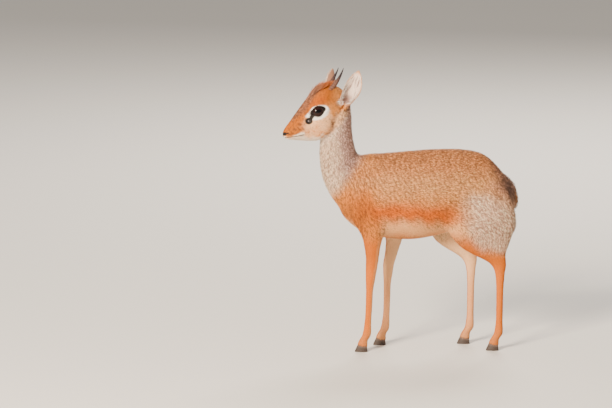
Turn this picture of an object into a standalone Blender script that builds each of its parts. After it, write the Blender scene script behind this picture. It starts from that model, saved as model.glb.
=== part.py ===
"""A male Kirk's dik-dik, standing and looking to its left, as a still, life-size model.

The animal faces -X, its left side is towards -Y and Z is up. The stations below are in millimetres: X from
the middle of the trunk, Z from the ground. At the end the whole model is moved so that the origin is at the
middle of its bounding box's floor.
"""

import math

import bmesh
import bpy
import numpy as np
from mathutils import Matrix, Vector

MM = 0.001
GAP = 0.3 * MM
SIDES = {"left": -1, "right": 1}

# Trunk: X, top and bottom of the vertical section, half width
TRUNK = (
    (-180, 306, 282, 9),
    (-174, 326, 268, 24),
    (-166, 350, 256, 35),
    (-146, 378, 239, 45),
    (-124, 386, 228, 50),
    (-97, 387, 220, 53),
    (-68, 389, 216, 56),
    (-39, 391, 215, 59),
    (-10, 393, 218, 61),
    (20, 394, 225, 61),
    (49, 394, 233, 59),
    (78, 391, 239, 56),
    (101, 385, 243, 52),
    (121, 371, 246, 46),
    (140, 350, 251, 38),
    (156, 329, 260, 28),
    (166, 306, 274, 14),
)
TRUNK_WIDEST = 0.44
TRUNK_ROUND_ABOVE = 1.85
TRUNK_ROUND_BELOW = 2.15

# Neck: Z, X and Y of the middle, half depth fore and aft, half width
NECK = (
    (486, -176, -3, 21, 19),
    (468, -178, -4, 26, 23),
    (448, -181, -4, 29.5, 26),
    (420, -182, -3, 32.5, 28),
    (390, -180.5, -2, 37.5, 31),
    (360, -174.5, -1, 41.5, 35),
    (330, -165, 0, 44, 39),
    (300, -148, 0, 46, 42),
    (272, -132, 0, 40, 40),
    (245, -120, 0, 26, 30),
)

# Hindquarters between the thighs: centre and size
PELVIS = ((118, 0, 280), (43, 34, 40))

# Legs: Z, X, half depth fore and aft, distance from the mid-plane, half width
FORE_LEG = (
    (382, -112, 14, 15, 10),
    (360, -117, 27, 21, 17),
    (325, -126, 36, 29, 20),
    (285, -130, 38, 33, 21),
    (252, -121, 31, 35, 19),
    (228, -115, 23, 36, 17),
    (208, -115, 18, 36, 14),
    (185, -115, 14, 35, 11.5),
    (160, -117, 11.2, 34, 9.6),
    (142, -118.5, 9.6, 34, 9.4),
    (122, -120, 7.6, 34, 7.4),
    (95, -121, 7, 34, 6.8),
    (60, -123, 7, 34, 6.8),
    (34, -125.5, 8.8, 34, 8.6),
    (22, -131.2, 8.4, 34, 8.7),
    (12, -134, 9.9, 34, 9.5),
    (3, -136, 10.4, 34, 9.6),
)
HIND_LEG = (
    (362, 92, 26, 20, 16),
    (325, 100, 46, 29, 22),
    (285, 100, 62, 36, 26),
    (250, 97, 69, 40, 26),
    (228, 97, 63, 41, 22),
    (205, 103, 49, 40, 17),
    (190, 112.5, 34, 39, 13.5),
    (178, 125, 21.5, 38, 11),
    (167, 132, 14.5, 37, 9.8),
    (150, 134, 9.8, 36, 8.4),
    (120, 134, 7.6, 36, 7),
    (85, 133.5, 7.2, 36, 6.8),
    (58, 133, 7.2, 36, 6.8),
    (34, 131.5, 9, 36, 8.6),
    (22, 125.2, 8.4, 36, 8.7),
    (12, 122, 9.9, 36, 9.5),
    (3, 120, 10.4, 36, 9.6),
)
# How far the right legs stand from the left ones: Z, shift in X
FORE_STEP = ((325, 0), (285, 8), (252, 30), (228, 45), (208, 48), (185, 43), (160, 39), (60, 41))
HIND_STEP = ((362, 0), (325, -3), (285, -14), (250, -30), (228, -36), (205, -42), (190, -46), (178, -50))

# Cuts between sub-parts, as two points (X, Z) on each plane, and the levels of the cuts through the legs
HEAD_CUT = ((-214, 408), (-156, 479))
NECK_CUT = ((-213, 334), (-142, 388))
THIGH_CUT = ((5, 221), (176, 300))
LEG_CUTS = ((-160, -30, 206), (-160, -30, 146), (20, 190, 168))

# Head: distance forward, top, bottom, and half widths at the brow, the middle and the jaw
HEAD = (
    (-27, 22, 4, 9, 12, 9),
    (-22, 33, -6, 16, 19, 13),
    (-10, 45, -20, 20, 23, 15),
    (0, 50, -32, 22, 25, 17),
    (10, 52, -42, 23, 26, 20),
    (20, 51, -49, 25, 27, 22),
    (32, 47.5, -53, 26.5, 27.5, 22),
    (45, 40, -55, 23.5, 25.8, 19.5),
    (58, 28.5, -54.5, 17, 20.5, 17),
    (65, 22, -54, 14.4, 18.2, 15.8),
    (73, 13.5, -53, 12.3, 16.6, 15),
    (80, 5.5, -52.2, 11.2, 15.4, 14),
    (88, -4, -51.2, 10.5, 14.5, 13),
    (95, -12.5, -50.2, 10, 13, 12),
    (101, -19.5, -49, 9.6, 12, 10.8),
    (106, -25.5, -47.2, 9, 10.6, 9),
    (109.5, -30.5, -44.6, 6.8, 8.2, 6.4),
    (111.5, -34.5, -41.5, 3.4, 4.4, 3.2),
)
HEAD_LEVELS = (0.22, 0.5, 0.82)
HEAD_ROUND = 2.4
HEAD_AT = Vector((-185, -4, 469)) * MM
HEAD_TURN = math.radians(20)
HEAD_ROLL = math.radians(5)

EYE = Vector((45, 14.6, 2.6)) * MM
EYE_LOOKS = Vector((0.25, 0.96, 0.08)).normalized()
EYE_TILT = math.radians(15)
EYE_RADIUS = 14 * MM
EYE_BACK = 2 * MM
LID = 1.6 * MM
OPENING = (13.2 * MM, 8.7 * MM)
GLAND = Vector((65, 18, -14.5)) * MM
GLAND_SIZE = 5.4 * MM
NOSTRIL = Vector((106, 7.2, -37)) * MM
NOSTRIL_SIZE = Vector((3.4, 2.6, 1.3)) * MM
MOUTH = ((118, -44.4), (109, -44.5), (102, -44.2), (91, -43.4), (84, -42.4), (73, -40.6))
MOUTH_GAP = 0.8 * MM
MOUTH_DEPTH = 1.6 * MM

HORN_BASE = Vector((15, 12.5, 43)) * MM
HORN_TIP = Vector((-15, 12, 83)) * MM
HORN_RADIUS = 5.6 * MM
HORN_CURVE = 3 * MM
HORN_RINGS = 6

EAR_BASE = Vector((-9, 23, 14)) * MM
EAR_TIP = Vector((-20.5, 66, 75.5)) * MM
EAR_FILLED = (0.0, 0.16)
EAR_OPENS = Vector((0.5, 0.84, 0.05))
EAR_THICKNESS = 1.9 * MM
# How far the middle of the left and of the right ear lies behind its straight line
EAR_BOWS = {1: 3.6 * MM, -1: -1.6 * MM}
# Ear: share of its length, radius of the cup, half the angle that it goes round
EAR = (
    (-0.1, 8, 155),
    (0, 9, 146),
    (0.09, 10.5, 128),
    (0.2, 12.4, 108),
    (0.32, 14, 95),
    (0.46, 16.2, 80),
    (0.6, 17.3, 67),
    (0.76, 16, 55),
    (0.9, 12, 40),
    (1, 4, 22),
)

# Tail: X, Z, half width, half thickness
TAIL = (
    (146, 340, 8, 6),
    (155, 328, 10, 7),
    (162, 314, 10, 7),
    (167, 300, 9, 6),
    (169.5, 287, 6.5, 4.5),
    (170, 276, 2, 1.5),
)

# Crest, row by row from its front: distance forward, half its breadth, count of locks, length, lean
CREST = (
    (53, 5, 4, 16, 50),
    (47, 7.5, 5, 21, 54),
    (40, 9.5, 5, 26, 60),
    (33, 10.5, 6, 25, 58),
    (26, 11, 6, 24, 55),
    (18, 9, 5, 24, 50),
)

HOOF_FRONT = 15 * MM
HOOF_BACK = 10 * MM
HOOF_WIDTH = 8.6 * MM
HOOF_LEAN = 6 * MM
CLEFT = 1.2 * MM
CORONET_FRONT = 16 * MM
CORONET_SLOPE = 0.26

BODY_VOXEL = 2.6 * MM
HEAD_VOXEL = 1.4 * MM
BODY_TRIANGLES = 4100
HEAD_TRIANGLES = 4200

COLOURS = {
    "torso": (0.36, 0.25, 0.17),
    "neck": (0.42, 0.34, 0.28),
    "head": (0.55, 0.28, 0.12),
    "ear": (0.6, 0.42, 0.3),
    "eye": (0.012, 0.009, 0.008),
    "horn": (0.09, 0.075, 0.07),
    "tail": (0.3, 0.24, 0.2),
    "upper": (0.45, 0.27, 0.15),
    "lower": (0.5, 0.28, 0.14),
    "hoof": (0.05, 0.042, 0.038),
}


def between(rows, count):
    """A smooth curve through the rows, read at that many even steps."""
    rows = np.array(rows, float)
    t = np.linspace(0, len(rows) - 1, count)
    i = np.clip(t.astype(int), 0, len(rows) - 2)
    f = (t - i)[:, None]
    p = np.vstack([2 * rows[0] - rows[1], rows, 2 * rows[-1] - rows[-2]])
    a, b, c, d = p[i], p[i + 1], p[i + 2], p[i + 3]
    bend = (2 * a - 5 * b + 4 * c - d) * f**2 + (3 * b - a - 3 * c + d) * f**3
    return 0.5 * (2 * b + (c - a) * f + bend)


def smooth_step(low, high, value):
    t = np.clip((value - low) / (high - low), 0, 1)
    return t * t * (3 - 2 * t)


def power(value, exponent):
    return np.sign(value) * np.abs(value) ** exponent


def new_object(name, mesh):
    obj = bpy.data.objects.new(name, mesh)
    bpy.context.scene.collection.objects.link(obj)
    return obj


def mesh_object(name, points, faces):
    mesh = bpy.data.meshes.new(name)
    mesh.from_pydata([tuple(p) for p in points], [], [tuple(f) for f in faces])
    shape = bmesh.new()
    shape.from_mesh(mesh)
    bmesh.ops.recalc_face_normals(shape, faces=shape.faces)
    shape.to_mesh(mesh)
    shape.free()
    return new_object(name, mesh)


def loft(name, rings):
    """A closed body through rings of equally many points, each end closed by a fan of triangles."""
    count, around = rings.shape[:2]
    points = [*rings.reshape(-1, 3), rings[0].mean(0), rings[-1].mean(0)]
    faces = []
    for i in range(count - 1):
        for j in range(around):
            k = (j + 1) % around
            faces.append((i * around + j, i * around + k, (i + 1) * around + k, (i + 1) * around + j))
    last = (count - 1) * around
    for j in range(around):
        k = (j + 1) % around
        faces.append((j, count * around, k))
        faces.append((last + j, last + k, count * around + 1))
    return mesh_object(name, points, faces)


def ring_of(x, y, z):
    """Points from the three coordinates, each an array or one number for all."""
    return np.stack(np.broadcast_arrays(x, y, z), 1)


def angles(count):
    return np.linspace(0, 2 * math.pi, count, endpoint=False)


def trunk():
    turn = angles(48)
    rings = []
    for x, top, bottom, half in between(TRUNK, 60):
        middle = bottom + TRUNK_WIDEST * (top - bottom)
        above = np.cos(turn) > 0
        roundness = np.where(above, TRUNK_ROUND_ABOVE, TRUNK_ROUND_BELOW)
        reach = np.where(above, top - middle, middle - bottom)
        y = half * power(np.sin(turn), 2 / roundness)
        z = middle + reach * power(np.cos(turn), 2 / roundness)
        rings.append(ring_of(x, y, z))
    return loft("trunk", np.array(rings) * MM)


def pelvis():
    turn = angles(32)
    (x, y, z), (long, wide, high) = PELVIS
    rings = []
    for t in np.linspace(-0.97, 0.97, 20):
        flat = math.sqrt(1 - t * t)
        rings.append(ring_of(x + long * t, y + wide * flat * np.cos(turn), z + high * flat * np.sin(turn)))
    return loft("pelvis", np.array(rings) * MM)


def neck():
    turn = angles(40)
    rings = []
    for z, x, y, deep, half in between(NECK, 36):
        rings.append(ring_of(x + deep * np.cos(turn), y + half * np.sin(turn), z))
    return loft("neck", np.array(rings) * MM)


def leg(name, rows, step, side):
    turn = angles(28)
    heights, shifts = np.array(step, float)[::-1].T
    rings = []
    for z, x, deep, out, half in between(rows, 70):
        x = x + (np.interp(z, heights, shifts) if side > 0 else 0)
        rings.append(ring_of(x + deep * np.cos(turn), side * out + half * np.sin(turn), z))
    return loft(name, np.array(rings) * MM)


def head_matrix():
    """From the head's own axes (forward, to the left, up) to the model's."""
    forward = Vector((-math.cos(HEAD_TURN), -math.sin(HEAD_TURN), 0))
    level = Vector((0, 0, 1)).cross(forward)
    left = level * math.cos(HEAD_ROLL) + Vector((0, 0, math.sin(HEAD_ROLL)))
    turn = Matrix((forward, left, forward.cross(left))).transposed().to_4x4()
    return Matrix.Translation(HEAD_AT) @ turn


def skull():
    turn = angles(44)
    share = (1 - np.cos(turn)) / 2
    levels = np.array(HEAD_LEVELS)
    edge = (1 - np.abs(2 * share - 1) ** HEAD_ROUND) ** (1 / HEAD_ROUND)
    level_edge = (1 - np.abs(2 * levels - 1) ** HEAD_ROUND) ** (1 / HEAD_ROUND)
    rings = []
    for forward, top, bottom, *halves in between(HEAD, 64):
        half = np.interp(share, levels, np.array(halves) / level_edge) * edge
        rings.append(ring_of(forward, half * np.sign(np.sin(turn)), top + (bottom - top) * share))
    made = loft("skull", np.array(rings) * MM)
    made.data.transform(head_matrix())
    return made


def joined(name, pieces):
    """The pieces as one mesh object, which a remesh or a Boolean then makes one body."""
    shape = bmesh.new()
    for piece in pieces:
        shape.from_mesh(piece.data)
        bpy.data.objects.remove(piece)
    mesh = bpy.data.meshes.new(name)
    shape.to_mesh(mesh)
    shape.free()
    return new_object(name, mesh)


def applied(obj):
    """Puts the modifiers' result in the object's own mesh."""
    bpy.context.view_layer.update()
    made = bpy.data.meshes.new_from_object(obj.evaluated_get(bpy.context.evaluated_depsgraph_get()))
    obj.modifiers.clear()
    obj.data = made
    return obj


def remeshed(obj, voxel):
    made = obj.modifiers.new("one_skin", "REMESH")
    made.mode = "VOXEL"
    made.voxel_size = voxel
    return applied(obj)


def smoothed(obj, weights, rounds, factor=0.5):
    group = obj.vertex_groups.new(name="soft")
    for index, weight in enumerate(weights):
        if weight > 0.01:
            group.add([index], float(weight), "REPLACE")
    made = obj.modifiers.new("soften", "SMOOTH")
    made.factor = factor
    made.iterations = rounds
    made.vertex_group = "soft"
    applied(obj)
    obj.vertex_groups.clear()
    return obj


def decimated(obj, triangles):
    obj.data.calc_loop_triangles()
    made = obj.modifiers.new("fewer", "DECIMATE")
    made.ratio = min(1, triangles / len(obj.data.loop_triangles))
    made.use_collapse_triangulate = True
    return applied(obj)


def positions(obj):
    points = np.empty(len(obj.data.vertices) * 3, np.float32)
    obj.data.vertices.foreach_get("co", points)
    return points.reshape(-1, 3).astype(float)


def move_points(obj, points):
    obj.data.vertices.foreach_set("co", points.astype(np.float32).ravel())
    obj.data.update()


def to_head(points):
    inverse = np.array(head_matrix().inverted())
    return points @ inverse[:3, :3].T + inverse[:3, 3]


def from_head(points):
    matrix = np.array(head_matrix())
    return points @ matrix[:3, :3].T + matrix[:3, 3]


def eye_axes(sign):
    """Out of the eye, along the slit towards its front corner, and across it, in the head's axes."""
    out = Vector((EYE_LOOKS.x, sign * EYE_LOOKS.y, EYE_LOOKS.z))
    along = Vector((math.cos(EYE_TILT), 0, -math.sin(EYE_TILT)))
    along = (along - out * along.dot(out)).normalized()
    across = out.cross(along) * sign
    return np.array(out), np.array(along), np.array(across) * (1 if across.z > 0 else -1)


def shape_eye(points, sign):
    """Draws the lids over the eyeball on points in the head's axes."""
    out, along, across = eye_axes(sign)
    from_eye = points - np.array((EYE.x, sign * EYE.y, EYE.z))
    a, b, height = from_eye @ along, from_eye @ across, from_eye @ out
    slit = np.abs(a / OPENING[0]) ** 1.9 + np.abs(b / OPENING[1]) ** 2
    off_axis = np.minimum(a * a + b * b, (0.96 * EYE_RADIUS) ** 2)
    wanted = np.sqrt(EYE_RADIUS**2 - off_axis) + LID - height
    front = smooth_step(-4 * MM, 2 * MM, height)
    raised = smooth_step(3, 1.4, slit) * np.maximum(wanted, 0)
    sunk = smooth_step(2, 1, slit) * np.minimum(wanted, 0)
    return points + np.outer((raised + sunk) * front, out)


def shape_gland(points, sign):
    """Raises the rim of the scent gland in front of the eye and sinks its slit."""
    centre = np.array((GLAND.x, sign * GLAND.y, GLAND.z))
    reach = np.linalg.norm((points - centre) * (1, 0.6, 1), axis=1) / GLAND_SIZE
    rise = 1.1 * MM * np.exp(-(((reach - 0.8) / 0.45) ** 2)) - 1.3 * MM * np.exp(-((reach / 0.45) ** 2))
    moved = points.copy()
    moved[:, 1] += sign * rise
    return moved


def shape_lips(points):
    """Swells the skin a little along both lips."""
    line = np.array(MOUTH[::-1], float) * MM
    level = np.interp(points[:, 0], line[:, 0], line[:, 1])
    along = smooth_step(70 * MM, 78 * MM, points[:, 0])
    swell = 0.7 * MM * np.exp(-(((points[:, 2] - level) / (3 * MM)) ** 2)) * along
    moved = points.copy()
    moved[:, 1] += swell * np.sign(points[:, 1])
    return moved


def shaped_face(obj):
    points = to_head(positions(obj))
    for sign in (1, -1):
        points = shape_eye(points, sign)
        points = shape_gland(points, sign)
    points = shape_lips(points)
    move_points(obj, from_head(points))
    return obj


def body_softness(points):
    """Much where limbs and neck flow into the trunk, little on the thin legs."""
    return 0.04 + 0.96 * smooth_step(160 * MM, 225 * MM, points[:, 2])


def head_softness(points):
    own = to_head(points)
    return 0.25 + 0.75 * smooth_step(5 * MM, -25 * MM, own[:, 0] + 0.5 * own[:, 2])


def body_skin():
    pieces = [trunk(), pelvis(), neck(), skull()]
    for side in SIDES.values():
        pieces.append(leg("fore", FORE_LEG, FORE_STEP, side))
        pieces.append(leg("hind", HIND_LEG, HIND_STEP, side))
    skin = remeshed(joined("body_skin", pieces), BODY_VOXEL)
    smoothed(skin, body_softness(positions(skin)), 90)
    return decimated(skin, BODY_TRIANGLES)


def head_skin():
    skin = remeshed(joined("head_skin", [skull(), neck()]), HEAD_VOXEL)
    smoothed(skin, head_softness(positions(skin)), 24)
    shaped_face(skin)
    return decimated(skin, HEAD_TRIANGLES)


def combined(obj, other, operation, solver="EXACT", keep=False):
    made = obj.modifiers.new(operation.lower(), "BOOLEAN")
    made.operation = operation
    made.object = other
    made.solver = solver
    applied(obj)
    if not keep:
        bpy.data.objects.remove(other)
    return obj


def slab(low, high, turn=None):
    """A box between two corners, turned by a matrix if one is given."""
    low, high = Vector(low), Vector(high)
    shape = bmesh.new()
    bmesh.ops.create_cube(shape, size=1)
    size = Matrix.Diagonal([*(high - low), 1])
    shape.transform(Matrix.Translation((low + high) / 2) @ size)
    if turn:
        shape.transform(turn)
    mesh = bpy.data.meshes.new("slab")
    shape.to_mesh(mesh)
    shape.free()
    return new_object("slab", mesh)


def islands(obj):
    """The separate closed bodies of a mesh, each as its own object, largest first."""
    shape = bmesh.new()
    shape.from_mesh(obj.data)
    unseen = set(shape.verts)
    found = []
    while unseen:
        queue = [unseen.pop()]
        group = set(queue)
        while queue:
            for edge in queue.pop().link_edges:
                for vert in edge.verts:
                    if vert in unseen:
                        unseen.remove(vert)
                        group.add(vert)
                        queue.append(vert)
        found.append(group)
    found.sort(key=len, reverse=True)
    made = []
    for group in found:
        order = {vert: n for n, vert in enumerate(group)}
        faces = [[order[v] for v in f.verts] for f in shape.faces if f.verts[0] in group]
        if len(faces) > 3:
            made.append(mesh_object("island", [v.co for v in order], faces))
    shape.free()
    bpy.data.objects.remove(obj)
    return made


def grown(obj, distance, name="grown"):
    """A copy with its surface moved outwards."""
    mesh = obj.data.copy()
    normals = np.empty(len(mesh.vertices) * 3, np.float32)
    mesh.vertices.foreach_get("normal", normals)
    made = new_object(name, mesh)
    move_points(made, positions(made) + distance * normals.reshape(-1, 3))
    return made


def kept_largest(obj):
    pieces = islands(obj)
    for piece in pieces[1:]:
        bpy.data.objects.remove(piece)
    return pieces[0]


def plane_turn(low, high):
    """From a box's own axes to those of a plane through two points (X, Z), its own Z being up from it."""
    a, b = Vector((low[0], 0, low[1])) * MM, Vector((high[0], 0, high[1])) * MM
    along = (b - a).normalized()
    across = Vector((0, 1, 0))
    turn = Matrix((along, across, along.cross(across))).transposed().to_4x4()
    return Matrix.Translation(a) @ turn, (b - a).length


def sphere(centre, radius, segments=32):
    shape = bmesh.new()
    bmesh.ops.create_uvsphere(shape, u_segments=segments, v_segments=segments // 2, radius=radius)
    mesh = bpy.data.meshes.new("sphere")
    shape.to_mesh(mesh)
    shape.free()
    mesh.transform(Matrix.Translation(centre))
    return new_object("sphere", mesh)


def eye_cap(sign, extra=0.0):
    """The front of the eyeball, flat behind, with its surface moved out by the extra distance."""
    out, along, across = (Vector(v) for v in eye_axes(sign))
    centre = Vector((EYE.x, sign * EYE.y, EYE.z))
    radius = EYE_RADIUS + extra
    turn = Matrix((along, out.cross(along), out)).transposed().to_4x4()
    rings = []
    for lift in np.linspace(math.asin((EYE_BACK - extra) / radius), math.pi / 2 - 0.16, 6):
        turn_round = angles(28)
        flat = radius * math.cos(lift)
        rings.append(ring_of(flat * np.cos(turn_round), flat * np.sin(turn_round), radius * math.sin(lift)))
    made = loft("eye", np.array(rings))
    made.data.transform(head_matrix() @ Matrix.Translation(centre) @ turn)
    return made


def eye_opening(sign):
    """A prism whose section is the outline between the lids: an almond, pointed in front."""
    out, along, across = (Vector(v) for v in eye_axes(sign))
    centre = Vector((EYE.x, sign * EYE.y, EYE.z))
    turn = Matrix((along, across, along.cross(across))).transposed().to_4x4()
    if along.cross(across).dot(out) < 0:
        turn = turn @ Matrix.Diagonal((1, 1, -1, 1))
    turn_round = angles(36)
    a = power(np.cos(turn_round), 1.1)
    narrow = 1 - 0.3 * np.clip(a, 0, 1) ** 1.4 - 0.1 * np.clip(-a, 0, 1) ** 2
    b = power(np.sin(turn_round), 0.95) * narrow
    rings = []
    for height, size in ((EYE_BACK + MM, 0.98), (EYE_RADIUS, 1.0), (EYE_RADIUS + 12 * MM, 1.3)):
        rings.append(ring_of(a * OPENING[0] * size, b * OPENING[1] * size, height))
    made = loft("opening", np.array(rings))
    made.data.transform(head_matrix() @ Matrix.Translation(centre) @ turn)
    outward(made)
    return made


def outward(obj):
    """Turns the faces out again, as after a mirroring matrix."""
    shape = bmesh.new()
    shape.from_mesh(obj.data)
    bmesh.ops.recalc_face_normals(shape, faces=shape.faces)
    shape.to_mesh(obj.data)
    shape.free()


def nostril(sign):
    made = sphere(Vector((0, 0, 0)), 1, 16)
    turn = Matrix.Rotation(sign * math.radians(-38), 4, "Z") @ Matrix.Rotation(math.radians(24), 4, "Y")
    size = Matrix.Diagonal([*NOSTRIL_SIZE, 1])
    centre = Vector((NOSTRIL.x, sign * NOSTRIL.y, NOSTRIL.z))
    made.data.transform(head_matrix() @ Matrix.Translation(centre) @ turn @ size)
    return made


def mouth_cutter(head):
    """A thin curved sheet along the line of the mouth, left only near the skin."""
    points = []
    for forward, level in MOUTH:
        for out in (-30, 30):
            for half in (-0.5, 0.5):
                points.append(Vector((forward * MM, out * MM, level * MM + half * MOUTH_GAP)))
    faces = []
    for i in range(len(MOUTH) - 1):
        n = 4 * i
        for a, b in ((0, 1), (1, 3), (3, 2), (2, 0)):
            faces.append((n + a, n + b, n + 4 + b, n + 4 + a))
    last = 4 * (len(MOUTH) - 1)
    faces += [(0, 1, 3, 2), (last, last + 2, last + 3, last + 1)]
    sheet = mesh_object("mouth", points, faces)
    sheet.data.transform(head_matrix())
    return combined(sheet, grown(head, -MOUTH_DEPTH), "DIFFERENCE")


def horn(sign):
    """A short ringed cone, its tip curved forward."""
    turn = angles(9)
    base = Vector((HORN_BASE.x, sign * HORN_BASE.y, HORN_BASE.z))
    tip = Vector((HORN_TIP.x, sign * HORN_TIP.y, HORN_TIP.z))
    axis = (tip - base).normalized()
    front = (Vector((1, 0, 0)) - axis * axis.x).normalized()
    side = axis.cross(front)
    rings = []
    for t in np.linspace(0, 1, 2 * HORN_RINGS + 5):
        ringed = 0.25 * MM * max(0, math.cos(2 * math.pi * HORN_RINGS * t / 0.62)) * (t < 0.62)
        radius = HORN_RADIUS * (1 - 0.88 * t**1.15) + ringed
        middle = base.lerp(tip, t) - front * HORN_CURVE * 4 * t * (1 - t)
        rings.append([middle + front * radius * math.cos(a) + side * radius * math.sin(a) for a in turn])
    made = loft("horn", np.array(rings))
    made.data.transform(head_matrix())
    return made


def ear(sign):
    """A cup of one leaf, rolled to a tube at its base and open outwards above."""
    base = Vector((EAR_BASE.x, sign * EAR_BASE.y, EAR_BASE.z))
    tip = Vector((EAR_TIP.x, sign * EAR_TIP.y, EAR_TIP.z))
    axis = (tip - base).normalized()
    opens = Vector((EAR_OPENS.x, sign * EAR_OPENS.y, EAR_OPENS.z))
    opens = (opens - axis * opens.dot(axis)).normalized()
    side = axis.cross(opens)
    length = (tip - base).length
    across = np.linspace(-1, 1, 9)
    rings = []
    for share, radius, half in between(EAR, 13):
        radius, half = radius * MM, math.radians(half)
        thick = EAR_THICKNESS / 2 * (1 - 0.55 * np.abs(across) ** 2) * (1 - 0.5 * share)
        filled = 1 - smooth_step(*EAR_FILLED, share)
        inner = thick + filled * (radius - 0.8 * MM - thick)
        bow = EAR_BOWS[sign] * math.sin(math.pi * min(max(share, 0), 1) ** 1.2)
        back = base + axis * share * length - opens * 7 * MM + side * sign * bow
        ring = []
        for line, order in ((thick, across), (-inner[::-1], across[::-1])):
            for depth, a in zip(line, order):
                turn = a * half
                reach = radius + depth
                point = opens * (radius - reach * math.cos(turn)) + side * reach * math.sin(turn)
                ring.append(back + point)
        rings.append(ring)
    made = loft("ear", np.array(rings))
    made.data.transform(head_matrix())
    return made


def tail():
    turn = angles(12)
    rings = []
    rows = between(TAIL, 12)
    for i, (x, z, half, deep) in enumerate(rows):
        ahead, behind = rows[min(i + 1, len(rows) - 1)], rows[max(i - 1, 0)]
        along = np.array((ahead[0] - behind[0], ahead[1] - behind[1]))
        out = np.array((-along[1], along[0])) / np.linalg.norm(along)
        lift = deep * np.cos(turn)
        rings.append(ring_of(x + out[0] * lift, half * np.sin(turn), z + out[1] * lift))
    return loft("tail", np.array(rings) * MM)


def toe(name, x, y, side, inner):
    """One of a foot's two hooves: flat below, leaning back above, rounded outside and pointed in front."""
    turn = angles(16)
    rings = []
    for t in np.linspace(0, 1, 4):
        front, back = HOOF_FRONT - HOOF_LEAN * t, -HOOF_BACK + 1.2 * MM * t
        half = HOOF_WIDTH / 2 * (1 - 0.06 * t)
        along = (front + back) / 2 + (front - back) / 2 * power(np.cos(turn), 0.9)
        taper = 1 - 0.5 * np.clip((along - back) / (front - back), 0, 1) ** 2.2
        out = CLEFT / 2 + half * taper * (1 + power(np.sin(turn), 0.85))
        top = CORONET_FRONT - GAP - CORONET_SLOPE * (HOOF_FRONT - HOOF_LEAN - along)
        rings.append(ring_of(x - along, y + inner * out, t * top))
    return loft(name, np.array(rings))


def foot_places():
    """Each foot's name, middle of the coronet in X, distance from the mid-plane and side."""
    for name, rows, step in (("fore", FORE_LEG, FORE_STEP), ("hind", HIND_LEG, HIND_STEP)):
        heights, shifts = np.array(step, float)[::-1].T
        for word, side in SIDES.items():
            shift = np.interp(0, heights, shifts) if side > 0 else 0
            yield f"{name}_{word}", (rows[-2][1] + shift) * MM, side * rows[-2][3] * MM, side


def coronet_box(x, y):
    """All of a foot below its slanting coronet."""
    slope = Matrix.Rotation(math.atan(CORONET_SLOPE), 4, "Y")
    corner = Vector((x - HOOF_FRONT + HOOF_LEAN, y, CORONET_FRONT))
    return slab((-20 * MM, -16 * MM, -30 * MM), (40 * MM, 16 * MM, 0), Matrix.Translation(corner) @ slope)


def plane_cut(body, low, high, below, above, half=90 * MM):
    """Takes away what lies between two distances from the plane through two points (X, Z)."""
    turn, length = plane_turn(low, high)
    combined(body, slab((-80 * MM, -half, below), (length + 60 * MM, half, above), turn), "DIFFERENCE")


def cut_body(body):
    """Cuts the one skin into the sub-parts, GAP apart, and drops the head and the feet."""
    plane_cut(body, *HEAD_CUT, 0, 140 * MM)
    plane_cut(body, *NECK_CUT, -GAP / 2, GAP / 2)
    plane_cut(body, *THIGH_CUT, -GAP / 2, GAP / 2)
    plane_cut(body, *THIGH_CUT, -150 * MM, 0.1 * MM, GAP / 2)
    for front, back, level in LEG_CUTS:
        low = Vector((front, -90, level)) * MM
        high = Vector((back, 90, level + GAP / MM)) * MM
        combined(body, slab(low, high), "DIFFERENCE")
    for name, x, y, side in foot_places():
        combined(body, coronet_box(x, y), "DIFFERENCE")
    return islands(body)


def named_pieces(pieces):
    """Names each piece of the body by where its middle is."""
    found = {}
    for piece in pieces:
        points = positions(piece) / MM
        x, y, z = (points.max(0) + points.min(0)) / 2
        word = "left" if y < 0 else "right"
        if len(points) < 40:
            name = None
        elif z > 380 and x < -150:
            name = "neck"
        elif z > 250:
            name = "torso"
        else:
            limb = "fore" if x < 0 else "hind"
            name = f"{limb}_{'upper' if z > (140 if limb == 'fore' else 165) else 'lower'}_{word}"
        if name is None or name in found:
            bpy.data.objects.remove(piece)
        else:
            found[name] = piece
    return found


def crown_level(forward):
    rows = np.array(HEAD)
    return np.interp(forward, rows[:, 0], rows[:, 1])


def crest_lock(forward, out, length, lean, swing):
    """A flat tapered lock rooted on the crown, in the head's axes."""
    root = Vector((forward, out, crown_level(forward) - 4.5 - 0.018 * out * out)) * MM
    along = Vector((-math.cos(lean), swing, math.sin(lean))).normalized()
    side = along.cross(Vector((0, 0, 1))).normalized()
    flat = side.cross(along)
    rings = []
    for t in np.linspace(0, 1, 4):
        wide = 3.9 * MM * (1 - 0.84 * t**1.5)
        thin = 1.5 * MM * (1 - 0.75 * t)
        middle = root + along * length * t - flat * 2 * MM * t * t
        rings.append([middle + side * wide * math.cos(a) + flat * thin * math.sin(a) for a in angles(6)])
    made = loft("lock", np.array(rings))
    made.data.transform(head_matrix())
    return made


def crest():
    random = np.random.default_rng(7)
    locks = []
    for forward, half, count, length, lean in CREST:
        for out in np.linspace(-half, half, count):
            turned = math.radians(lean + random.uniform(-5, 5))
            long = length * MM * random.uniform(0.88, 1.1)
            locks.append(crest_lock(forward + random.uniform(-1, 1), out, long, turned, 0.02 * out))
    return locks


def united(obj, pieces):
    """One Boolean union with closed pieces, of which only the largest closed surface is kept."""
    group = bpy.data.collections.new("pieces")
    bpy.context.scene.collection.children.link(group)
    for piece in pieces:
        group.objects.link(piece)
    made = obj.modifiers.new("union", "BOOLEAN")
    made.operation = "UNION"
    made.operand_type = "COLLECTION"
    made.collection = group
    made.solver = "MANIFOLD"
    applied(obj)
    for piece in pieces:
        bpy.data.objects.remove(piece)
    bpy.data.collections.remove(group)
    return kept_largest(obj)


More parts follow.
